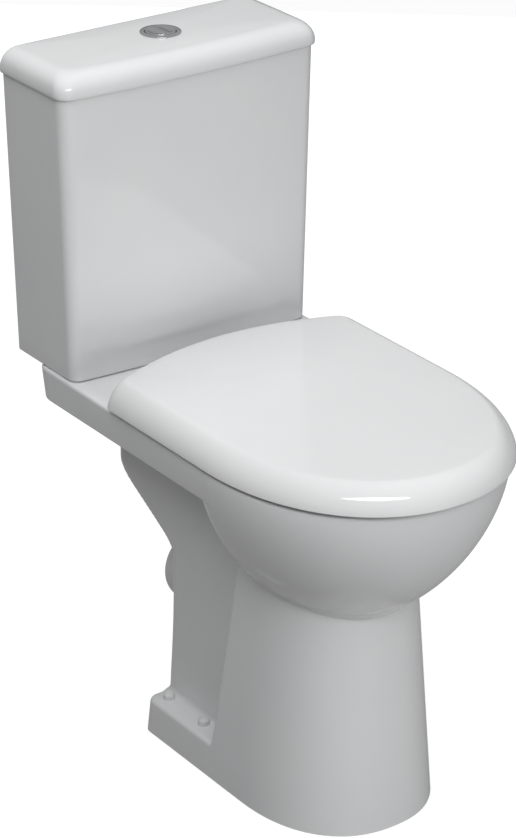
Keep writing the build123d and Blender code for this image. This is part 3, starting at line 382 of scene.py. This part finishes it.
def foot(x, y, z):
    """Distance from the foot plate behind the pedestal."""
    back_y = 143.0
    corner = 14.0
    top_round = 6.0
    inset = pan_taper * z
    plate = rounded_box(x, y, pedestal_half_width - inset, back_y - inset, corner)
    plate = np.maximum(plate, pedestal_widest_y - y)
    return soft_max(plate, z - foot_top_z, top_round)


def deck(x, y, z):
    """Distance from the deck that carries seat and cistern; back and sides lean in towards its underside.

    The sides run straight from the widest of the bowl to where the rear part begins.
    """
    half_width = 176.0
    side_lean = 1.5
    rear_y = 237.0
    back_y = 282.0
    back_lean = 6.0
    corner = 24.0
    under_round = 4.0
    drop = (rim_z - z) / (rim_z - deck_under_z)
    rear_width = half_width - side_lean * drop
    bowl_width = bowl_half_width * bowl_fall(z, bowl_side_power)[1]
    forward = np.clip((rear_y - y) / (rear_y - bowl_widest_y), 0, 1)
    width = rear_width + (bowl_width - rear_width) * forward
    plate = rounded_box(x, y, width, back_y - back_lean * drop, corner)
    plate = np.maximum(plate, bowl_widest_y - y)
    return soft_max(plate, deck_under_z - z, under_round)


def pan_distance(x, y, z):
    """Smooth union of bowl, pedestal, column, foot and deck, cut off and rounded at the rim.

    The fillet between foot and pedestal fades out along the sides, where the two share one face.
    """
    sharp = 0.1
    foot_fillet = 15.0
    bowl_fillet = 3.0
    column_fillet = 10.0
    deck_fillet = 1.0
    rim_round = 5.0
    fade_lead = 5.0
    fade_length = 6.0
    fade_half_width = 110.0
    fade_width = 12.0
    behind = np.clip((y - pedestal_rear(z) + fade_lead) / fade_length, 0, 1)
    within = np.clip((fade_half_width - np.abs(x)) / fade_width, 0, 1)
    whole = soft_min(pedestal(x, y, z), bowl(x, y, z), bowl_fillet)
    whole = soft_min(whole, foot(x, y, z), sharp + foot_fillet * (behind * within))
    whole = soft_min(whole, column(x, y, z), column_fillet)
    whole = soft_min(whole, deck(x, y, z), deck_fillet)
    return soft_max(whole, z - rim_z, rim_round)


def hollow_distance(x, y, z):
    """Distance from the hollow underside: the pedestal drawn in by its wall, and the inside of the column."""
    wall = 12.0
    half_width = 70.0
    front_y = -48.0
    back_y = 113.0
    fillet = 4.0
    inside = pedestal(x, y, z) + wall
    behind = np.maximum(np.maximum(np.abs(x) - half_width, y - back_y), front_y - y)
    return soft_min(inside, behind, fillet)


def rays(count):
    """Directions round the pan's axis from the front, closer together behind, where the corners are."""
    bunching = 0.55
    t = np.arange(count) / count
    turn = 2 * np.pi * t + bunching * np.sin(2 * np.pi * t) - np.pi / 2
    return np.cos(turn), np.sin(turn)


def cast(distance, heights, count, far=420.0):
    """Rings where rays from the pan's axis leave a form, found by halving an interval again and again."""
    halvings = 40
    along_x, along_y = rays(count)
    z = np.repeat(heights[:, None], count, axis=1)
    near_end = np.zeros_like(z)
    far_end = np.full_like(z, far)
    for _ in range(halvings):
        middle = (near_end + far_end) / 2
        inside = distance(middle * along_x, pan_axis_y + middle * along_y, z) < 0
        near_end = np.where(inside, middle, near_end)
        far_end = np.where(inside, far_end, middle)
    return np.stack([near_end * along_x, pan_axis_y + near_end * along_y, z], axis=-1)


def basin_profile():
    """Basin as (radius, height) pairs: rounded lip, steep wall, curved floor and throat.

    The floor is a quadratic curve: (1-t)^2 wall foot + 2t(1-t) corner + t^2 throat edge.
    """
    mouth_radius = 140.0
    lip_width = 6.0
    lip_round = 9.0
    shoulder_z = 425.0
    shoulder_round = 30.0
    wall_foot = np.array([112.0, 340.0])
    floor_corner = np.array([90.0, 275.0])
    throat_edge = np.array([34.0, 262.0])
    wall = [(mouth_radius + lip_width, rim_z), (mouth_radius, rim_z), (mouth_radius, shoulder_z), wall_foot]
    t = np.linspace(0, 1, 22)[:, None]
    floor = (1 - t) ** 2 * wall_foot + 2 * t * (1 - t) * floor_corner + t**2 * throat_edge
    throat = [(32.0, 256.0), (32.0, 247.0), (27.0, 242.0)]
    return np.concatenate([rounded(wall, [lip_round, shoulder_round], 8), floor[1:], throat])


def pan_mesh(count=420):
    """Closed stack: down inside the hollow, up the outside, over the rim and down into the basin.

    Rings lie closer together at the top of the foot, under the deck and at the rim.
    """
    rim_ring_z = rim_z - 0.02
    climb = np.concatenate([
        np.linspace(0, 40, 8),
        np.linspace(41, 62, 24),
        np.linspace(66, 235, 32),
        np.linspace(239, 420, 56),
        np.linspace(423, 436, 14),
        np.linspace(439, 462, 8),
        np.linspace(463.5, rim_ring_z, 12),
    ])
    hollow_z = np.array([224.0, 200.0, 120.0, 40.0, 0.0])
    basin_centre = np.array([0, -128.0])
    outside = cast(pan_distance, climb, count)
    hollow = cast(hollow_distance, hollow_z, count)
    away = outside[-1, :, :2] - basin_centre
    away /= np.hypot(away[:, 0], away[:, 1])[:, None]
    profile = basin_profile()
    basin = np.empty((len(profile), count, 3))
    basin[:, :, :2] = basin_centre + profile[:, None, :1] * away
    basin[:, :, 2] = profile[:, 1:]
    across = np.linspace(0, 1, 9)[1:-1, None, None]
    top = outside[-1] + (basin[0] - outside[-1]) * across
    return stack_mesh(np.concatenate([hollow, outside, top, basin]))


def spigot_mesh():
    """Outlet pipe behind the column, flared where it leaves the column and open at its end."""
    axis_z = 180.0
    root_radius, root_y = 59.0, 117.0
    pipe_radius, pipe_y = 51.0, 137.0
    socket_radius, mouth_y = 43.0, 191.0
    bore_radius, step_y = 32.0, 151.0
    bore_end_y = 121.0
    centre_radius, centre_y = 4.0, 119.0
    corners = [
        (root_radius, root_y),
        (pipe_radius, pipe_y),
        (pipe_radius, mouth_y),
        (socket_radius, mouth_y),
        (socket_radius, step_y),
        (bore_radius, step_y),
        (bore_radius, bore_end_y),
        (centre_radius, centre_y),
    ]
    profile = rounded(corners, [8.0, 3.0, 3.0, 2.0, 2.0, 4.0])
    return stack_mesh(lathe(profile, (0, 0, axis_z), "Y", 96))


pan_casting = join_meshes([pan_mesh(), spigot_mesh()])
mesh_piece("pan_casting", *pan_casting, glaze, "shell", "glazed_ceramic", ["pan"])

# Cistern and lid


def tank_ring(half_width, front, back, corner, back_corner, bow):
    """Outline with a bowed front, two large front and two small rear corners, as (rows, columns, 2).

    The front is a parabola, and each front corner is an arc that leaves it at the parabola's own slope.
    """
    values = (half_width, front, back, corner)
    half_width, front, back, corner = [np.atleast_1d(np.asarray(v, float))[:, None] for v in values]
    slope = np.arctan(2 * bow / (half_width - corner))
    inner = half_width - corner + corner * np.sin(slope)
    slope = np.arctan(2 * bow / inner)
    t = np.linspace(0, 1, 17)[None, :]
    front_x = inner * np.linspace(0, 1, 25)[None, :-1]
    front_y = front + bow * (front_x / inner) ** 2
    turn = slope + (np.pi / 2 - slope) * t
    corner_x = half_width - corner + corner * np.sin(turn)
    corner_y = front + bow + corner * np.cos(slope) - corner * np.cos(turn)
    side_y = corner_y[:, -1:] + (back - back_corner - corner_y[:, -1:]) * np.linspace(0, 1, 12)[None, 1:-1]
    side_x = np.broadcast_to(half_width, side_y.shape)
    bend = np.pi / 2 * np.linspace(0, 1, 10)[None, :]
    rear_x = half_width - back_corner + back_corner * np.cos(bend)
    rear_y = back - back_corner + back_corner * np.sin(bend)
    back_x = (half_width - back_corner) * (1 - np.linspace(0, 1, 16)[None, 1:])
    back_y = np.broadcast_to(back, back_x.shape)
    right_x = np.concatenate([front_x, corner_x, side_x, rear_x, back_x], axis=1)
    right_y = np.concatenate([front_y, corner_y, side_y, rear_y, back_y], axis=1)
    x = np.concatenate([right_x, -right_x[:, -2:0:-1]], axis=1)
    y = np.concatenate([right_y, right_y[:, -2:0:-1]], axis=1)
    return np.stack([x, y], axis=-1)


def lift(outline, heights):
    """Rings from plan outlines (rows, columns, 2) and one height per row, or one per point."""
    heights = np.asarray(heights, float)
    if heights.ndim == 1:
        heights = np.broadcast_to(heights[:, None], outline.shape[:2])
    return np.concatenate([outline, heights[..., None]], axis=-1)


def cistern_rings(heights, insets):
    """Outline of the tapered tank at the given heights, drawn in by insets."""
    foot_half_width, flare = 173.0, 8.0
    foot_front_y, lean = 189.0, 7.0
    foot_corner, corner_growth = 14.0, 5.0
    back_corner = 4.0
    share = (heights - cistern_foot_z) / (cistern_top_z - cistern_foot_z)
    half_width = foot_half_width + flare * share - insets
    front = foot_front_y - lean * share + insets
    corner = foot_corner + corner_growth * share
    outline = tank_ring(half_width, front, cistern_back_y - insets, corner, back_corner, tank_bow)
    return lift(outline, heights)


def cistern_mesh():
    """Closed stack: bottom edge rounded by a quarter circle, tapered walls, top rim and the hollow inside."""
    bottom_round = 2.0
    wall = 10.0
    inner_z = np.array([cistern_top_z, 700.0, 600.0, 500.0, 486.0])
    turn = np.linspace(0, np.pi / 2, 7)
    edge_z = cistern_foot_z + bottom_round * (1 - np.sin(turn))[::-1]
    edge_inset = bottom_round * (1 - np.cos(turn))[::-1]
    wall_z = np.linspace(cistern_foot_z + bottom_round, cistern_top_z, 18)[1:]
    heights = np.concatenate([edge_z, wall_z, inner_z])
    insets = np.concatenate([edge_inset, np.zeros(len(wall_z)), np.full(len(inner_z), wall)])
    return stack_mesh(cistern_rings(heights, insets))


mesh_piece("cistern_tank", *cistern_mesh(), glaze, "shell", "glazed_ceramic", ["cistern"])


def lid_ring(inset, back_inset, corner, back_corner):
    """Outlines of the lid, drawn in by inset at front and sides and by back_inset at the back."""
    half_width = lid_half_width - inset
    corners = np.full(len(inset), corner)
    return tank_ring(half_width, lid_front_y + inset, lid_back_y - back_inset, corners, back_corner, tank_bow)


def lid_mesh():
    """Ring-shaped stack, closed on itself: edge, crowned top to the button hole, pocket, lip and underside.

    The edge is the quarter of a superellipse, narrow at the back. The top goes in straight lines from the
    edge to the hole, and its crown flattens out on the way in.
    """
    power = 0.9
    edge_width = 26.0
    back_edge_width = 6.0
    edge_foot_z = 833.0
    crown = 1.5
    edge_top_z = lid_top_z - crown
    corner, back_corner = 20.0, 6.0
    lip_corner, lip_back_corner = 14.0, 4.0
    hole_radius = 22.0
    ceiling_z = 852.0
    lip_foot_z = 822.0
    turn = np.linspace(0, np.pi / 2, 16)
    run = 1 - np.cos(turn) ** power
    edge_z = edge_foot_z + (edge_top_z - edge_foot_z) * np.sin(turn) ** power
    edge = lid_ring(edge_width * run, back_edge_width * run, corner, back_corner)
    foot_inset = np.array([9.0, 1.5, 0.4])
    foot_z = [cistern_top_z, cistern_top_z, 831.0]
    foot_rings = lid_ring(foot_inset, foot_inset, corner, back_corner)
    outer = np.concatenate([lift(foot_rings, foot_z), lift(edge, edge_z)])
    hole = np.array([0.0, button_y])
    away = outer[-1, :, :2] - hole
    away /= np.hypot(away[:, 0], away[:, 1])[:, None]
    inner = hole + hole_radius * away
    share = np.linspace(0, 1, 14)[1:, None]
    top_plan = outer[-1, :, :2] + (inner - outer[-1, :, :2]) * share[:, :, None]
    top = lift(top_plan, edge_top_z + crown * (1 - (1 - share[:, 0]) ** 2))
    lip_inset = np.array([20.0, 20.0, 14.0, 14.0])
    lip = lid_ring(lip_inset, lip_inset, lip_corner, lip_back_corner)
    lip_z = [ceiling_z, lip_foot_z, lip_foot_z, cistern_top_z]
    below = np.concatenate([lift(inner[None], [ceiling_z]), lift(lip, lip_z)])
    return stack_mesh(np.concatenate([outer, top, below]), loop=True)


mesh_piece("lid_shell", *lid_mesh(), glaze, "shell", "glazed_ceramic", ["cistern_lid"])

# Seat cover


def seat_outline(edge, wall=0.0, count=240):
    """Outline of the seat cover drawn in by wall and by its edge's round, which is steep at the back.

    The front is a superellipse, the sides are straight, and arcs lead to the parabola of the bowed back.
    """
    power = 2.13
    widest_y = -91.0
    half_width = 184.5 - edge - wall
    front_length = 234.5 - edge - wall
    back_share = 0.2
    back = 147.0 - back_share * edge - wall
    corner = 16.0
    bow = 32.0
    front_turn = np.linspace(0, np.pi / 2, count // 3)[:-1]
    front_x = half_width * np.sin(front_turn) ** (2 / power)
    front_y = widest_y - front_length * np.cos(front_turn) ** (2 / power)
    slope = np.arctan(2 * bow / (half_width - corner))
    corner_y = back - bow - corner * np.cos(slope)
    side_y = np.linspace(widest_y, corner_y, 24)[:-1]
    side_x = np.full(len(side_y), half_width)
    bend = np.linspace(0, np.pi / 2 - slope, 17)
    bend_x = half_width - corner + corner * np.cos(bend)
    bend_y = corner_y + corner * np.sin(bend)
    rear_x = np.linspace(bend_x[-1], 0, 40)[1:]
    rear_y = back - bow * (rear_x / bend_x[-1]) ** 2
    right_x = np.concatenate([front_x, side_x, bend_x, rear_x])
    right_y = np.concatenate([front_y, side_y, bend_y, rear_y])
    x = np.concatenate([right_x, -right_x[-2:0:-1]])
    y = np.concatenate([right_y, right_y[-2:0:-1]])
    return np.stack([x, y], axis=-1)


def cover_mesh():
    """Closed shell: skirt and rounded edge, crowned top, and the dished underside.

    The edge draws in by edge_width (1 - cos^power) while it climbs with sin^power. Behind the hinge the
    skirt is cut off, so the edge starts further up there.
    """
    power = 2 / 1.6
    edge_width = 25.6
    wall = 5.0
    foot_z = 476.0
    crown = 3.5
    top_z = 512.0 - crown
    ceiling_z = 506.0
    hinge_room = 11.0
    cut_y, cut_inner_x, cut_change = 116.0, 104.0, 8.0
    plan = seat_outline(0.0)
    behind = ease(cut_y, cut_y + cut_change, plan[:, 1])
    trim = behind * (1 - ease(cut_inner_x, cut_inner_x + cut_change, np.abs(plan[:, 0])))
    start_rise = (hinge_z + hinge_room - foot_z) / (top_z - foot_z)
    start = trim * np.arcsin(start_rise ** (1 / power))
    edge_step = seat_outline(1.0) - plan
    wall_step = seat_outline(0.0, 1.0) - plan
    turn = start + (np.pi / 2 - start) * np.linspace(0, 1, 26)[:, None]
    inset = edge_width * (1 - np.cos(turn) ** power)
    outer = lift(plan + edge_step * inset[..., None], foot_z + (top_z - foot_z) * np.sin(turn) ** power)
    centre = np.array([0, -60.0])
    shrink = 1 - np.linspace(0, 1, 24)[1:-1, None]
    top_plan = centre + (outer[-1, :, :2] - centre) * shrink[..., None]
    top = lift(top_plan, top_z + crown * (1 - shrink[:, 0] ** 2))
    under_turn = start + (np.pi / 2 - start) * np.linspace(1, 0, 12)[:, None]
    under_inset = edge_width * (1 - np.cos(under_turn) ** power)
    under_plan = plan + edge_step * under_inset[..., None] + wall_step * wall
    under = lift(under_plan, foot_z + (ceiling_z - foot_z) * np.sin(under_turn) ** power)
    spread = np.linspace(0, 1, 8)[1:-1, None]
    ceiling_plan = centre + (under[0, :, :2] - centre) * spread[..., None]
    ceiling = lift(ceiling_plan, np.full(len(spread), ceiling_z))
    return stack_mesh(np.concatenate([ceiling, under, outer, top]))


def barrel_mesh(middle_x, width):
    """Hinge barrel about the hinge axis with rounded rims and a hole for the pin."""
    hole = 3.6
    edge_round = 1.2
    half = width / 2
    corners = [(hole, -half), (hinge_barrel_radius, -half), (hinge_barrel_radius, half), (hole, half)]
    profile = rounded(corners, edge_round, 4)
    return stack_mesh(lathe(profile, (middle_x, hinge_y, hinge_z), "X", 48), loop=True)


def ear_web_mesh(middle_x, width):
    """Web that carries a hinge barrel, from the hinge axis up into the cover."""
    thickness = 6.0
    edge_round = 1.0
    top_z = 507.0
    left = middle_x - width / 2
    right = middle_x + width / 2
    front = hinge_y - hinge_barrel_radius
    back = front + thickness
    middle = (front + back) / 2
    corners = [(left, middle), (left, front), (right, front), (right, back), (left, back), (left, middle)]
    outline = rounded(corners, edge_round, 4)[:-1]
    return stack_mesh(lift(np.repeat(outline[None], 2, axis=0), [hinge_z, top_z]))


ear_x = 97.5
ear_width = 12.0
cover_ears = [barrel_mesh(side * ear_x, ear_width) for side in (-1, 1)]
cover_ears += [ear_web_mesh(side * ear_x, ear_width) for side in (-1, 1)]
mesh_piece("cover_shell", *cover_mesh(), seat_gloss, "cover", "seat_plastic", ["seat_cover"], sharp=60)
mesh_piece("cover_ears", *join_meshes(cover_ears), seat_gloss, "cover", "seat_plastic")

# Flush button


def bezel_mesh():
    """Turned bezel: rounded flange on the lid, bore and collar below."""
    collar_radius, collar_foot_z = 21.5, 837.0
    flange_radius, flange_z = 25.0, 862.6
    crest_radius, crest_z = 20.2, 863.5
    bore_radius, bore_top_z = 19.0, 862.4
    corners = [
        (collar_radius, collar_foot_z),
        (collar_radius, lid_top_z),
        (flange_radius, lid_top_z),
        (flange_radius, flange_z),
        (crest_radius, crest_z),
        (bore_radius, bore_top_z),
        (bore_radius, collar_foot_z),
    ]
    profile = rounded(corners, [0.3, 0.6, 1.2, 0.8, 0.5], 5)
    return stack_mesh(lathe(profile, (0, button_y, 0), "Z", 128), loop=True)


def half_disc(inset, count=72):
    """Half disc on the +X side, drawn in by inset: an arc and the straight edge along the split."""
    button_radius = 18.5
    half_split = 0.5
    inset = np.atleast_1d(np.asarray(inset, float))[:, None]
    radius = button_radius - inset
    edge = half_split + inset
    reach = np.arccos(edge / radius)
    turn = reach * np.linspace(-1, 1, count)[None, :]
    arc = np.stack([radius * np.cos(turn), radius * np.sin(turn)], axis=-1)
    chord_y = radius * np.sin(reach) * np.linspace(1, -1, count // 2)[None, 1:-1]
    chord = np.stack([np.broadcast_to(edge, chord_y.shape), chord_y], axis=-1)
    return np.concatenate([arc, chord], axis=1)


def half_button_mesh(side):
    """Half of the split button: rounded rim, shallow finger dish on top; side -1 is turned half round."""
    insets = np.array([0.0, 0.0, 0.25, 0.7, 1.3, 2.2, 4.0, 6.0, 7.6])
    heights = np.array([854.3, 863.2, 863.9, 864.2, 864.3, 864.2, 863.7, 863.4, 863.35])
    rings = lift(half_disc(insets) * side, heights)
    rings[..., 1] += button_y
    return stack_mesh(rings)


mesh_piece("bezel_ring", *bezel_mesh(), chrome, "shell", "chrome_trim", ["button_bezel"])
full_cap = half_button_mesh(1)
half_cap = half_button_mesh(-1)
mesh_piece("full_button_cap", *full_cap, chrome, "full_button", "chrome_trim", ["full_flush_button"])
mesh_piece("half_button_cap", *half_cap, chrome, "half_button", "chrome_trim", ["half_flush_button"])

# Screw caps on the foot


def cap_mesh(x, y):
    """Domed cap over a floor screw."""
    radius, wall_top_z = 7.0, 52.5
    dome_radius, top_z = 3.6, 55.0
    centre_radius = 0.05
    edge_round = 1.6
    corners = [(radius, foot_top_z), (radius, wall_top_z), (dome_radius, top_z), (centre_radius, top_z)]
    return stack_mesh(lathe(rounded(corners, edge_round, 6), (x, y, 0), "Z", 40))


cap_x = 95.0
cap_front_y, cap_rear_y = 42.0, 118.0
caps = [cap_mesh(x, y) for x in (-cap_x, cap_x) for y in (cap_front_y, cap_rear_y)]
mesh_piece("foot_caps", *join_meshes(caps), hinge_gloss, "shell", "cap_plastic", ["floor_screw_caps"])

# Finishes of the pieces that keep their CAD shape

finishes = {
    "seat_plastic": seat_gloss,
    "soft_bumper": pale_rubber,
    "plain_steel": steel,
    "black_rubber": black_rubber,
    "valve_plastic": valve_plastic,
    "hinge_plastic": hinge_gloss,
    "inlet_brass": brass,
}
blue_nodes = {"half_flush_sleeve", "half_flush_rocker", "full_flush_rocker", "fill_valve_lever", "bezel_nut"}
for entry in frame["record"]["subparts"]:
    node = frame["nodes"][entry["node"]]
    if entry["material_slot"] in finishes:
        node.data.materials.clear()
        finish = finishes[entry["material_slot"]]
        node.data.materials.append(valve_blue if entry["node"] in blue_nodes else finish)

# Floor, light and camera


def math_node(tree, operation, first, second):
    """Output of a Math node; each input is a socket or a number."""
    node = tree.nodes.new("ShaderNodeMath")
    node.operation = operation
    for socket, value in zip(node.inputs, (first, second)):
        if isinstance(value, (int, float)):
            socket.default_value = value
        else:
            tree.links.new(value, socket)
    return node.outputs[0]


def background_share(tree, seen, mirrored):
    """Strength seen for camera and transmission rays, mirrored for glossy rays and 0 for all others."""
    path = tree.nodes.new("ShaderNodeLightPath")
    direct = math_node(tree, "MAXIMUM", path.outputs["Is Camera Ray"], path.outputs["Is Transmission Ray"])
    glossy = math_node(tree, "MULTIPLY", path.outputs["Is Glossy Ray"], mirrored)
    return math_node(tree, "MAXIMUM", math_node(tree, "MULTIPLY", direct, seen), glossy)


def floor_material():
    """Pale floor that camera and glass see as white and gloss as grey, while the object's shadow stays."""
    seen, mirrored = 0.9, 0.2
    material, tree, shader = node_material("pale_floor", Roughness=0.9)
    shader.inputs["Base Color"].default_value = (0.2, 0.2, 0.2, 1)
    shader.inputs["Specular IOR Level"].default_value = 0.0
    glow = background_share(tree, seen, mirrored)
    shader.inputs["Emission Color"].default_value = (1, 1, 1, 1)
    tree.links.new(glow, shader.inputs["Emission Strength"])
    return material


floor_half = 8
floor_sides = ((-1, -1), (1, -1), (1, 1), (-1, 1))
floor_corners = [(floor_half * x, floor_half * y, 0) for x, y in floor_sides]
floor_mesh = bpy.data.meshes.new("floor")
floor_mesh.from_pydata(floor_corners, [], [(0, 1, 2, 3)])
floor_mesh.materials.append(floor_material())
floor = bpy.data.objects.new("floor", floor_mesh)
bpy.context.scene.collection.objects.link(floor)


def world_light(ambient):
    """Even grey light all round; camera and glass see it white, and gloss grey, darker low down."""
    low_gloss, high_gloss = 0.12, 0.33
    rise = 0.35
    world = bpy.data.worlds.new("studio")
    world.use_nodes = True
    tree = world.node_tree
    background = tree.nodes["Background"]
    background.inputs["Color"].default_value = (1, 1, 1, 1)
    place = tree.nodes.new("ShaderNodeTexCoord")
    split = tree.nodes.new("ShaderNodeSeparateXYZ")
    tree.links.new(place.outputs["Generated"], split.inputs["Vector"])
    ceiling = tree.nodes.new("ShaderNodeMapRange")
    ceiling.inputs["From Min"].default_value = 0.0
    ceiling.inputs["From Max"].default_value = rise
    ceiling.inputs["To Min"].default_value = low_gloss
    ceiling.inputs["To Max"].default_value = high_gloss
    tree.links.new(split.outputs["Z"], ceiling.inputs["Value"])
    strength = math_node(tree, "MAXIMUM", background_share(tree, 1.0, ceiling.outputs["Result"]), ambient)
    tree.links.new(strength, background.inputs["Strength"])
    bpy.context.scene.world = world


world_light(0.13)


def area_light(name, place, aim, size, watts, mirrored=False):
    """Soft lamp with an elliptical face at place, turned to aim; gloss shows it only where it is mirrored."""
    lamp = bpy.data.lights.new(name, "AREA")
    lamp.shape = "ELLIPSE"
    lamp.size, lamp.size_y = size
    lamp.energy = watts
    thing = bpy.data.objects.new(name, lamp)
    thing.location = place
    thing.rotation_euler = (Vector(aim) - Vector(place)).to_track_quat("-Z", "Y").to_euler()
    thing.visible_glossy = mirrored
    bpy.context.scene.collection.objects.link(thing)


area_light("top_lamp", (0.3, 0.5, 3.2), (0, 0, 0.4), (2.4, 2.4), 38)
area_light("left_lamp", (-1.6, -0.6, 3.0), (0, 0, 0.4), (2.4, 2.4), 38)
area_light("front_lamp", (0.2, -2.8, 0.4), (0, 0, 0.2), (2.4, 1.2), 31)
area_light("rear_lamp", (1.9, 2.2, 0.6), (0, 0, 0.4), (2.4, 1.4), 26)
area_light("strip_lamp", (-1.05, -1.9, 2.25), (0, -0.2, 0.5), (2.25, 0.4), 17, True)

camera_data = bpy.data.cameras.new("photo_camera")
camera_data.sensor_width = 36.0
camera_data.lens = 129.06
camera = bpy.data.objects.new("photo_camera", camera_data)
turn, tilt = np.radians(-35.645), np.radians(25.617)
camera_aim = Vector((-0.01016, 0.04547, 0.43812))
camera_distance = 3.5827
back = Vector((np.sin(turn) * np.cos(tilt), -np.cos(turn) * np.cos(tilt), np.sin(tilt)))
camera.location = camera_aim + back * camera_distance
camera.rotation_euler = (-back).to_track_quat("-Z", "Y").to_euler()
bpy.context.scene.collection.objects.link(camera)
bpy.context.scene.camera = camera
bpy.context.scene.view_settings.view_transform = "Standard"
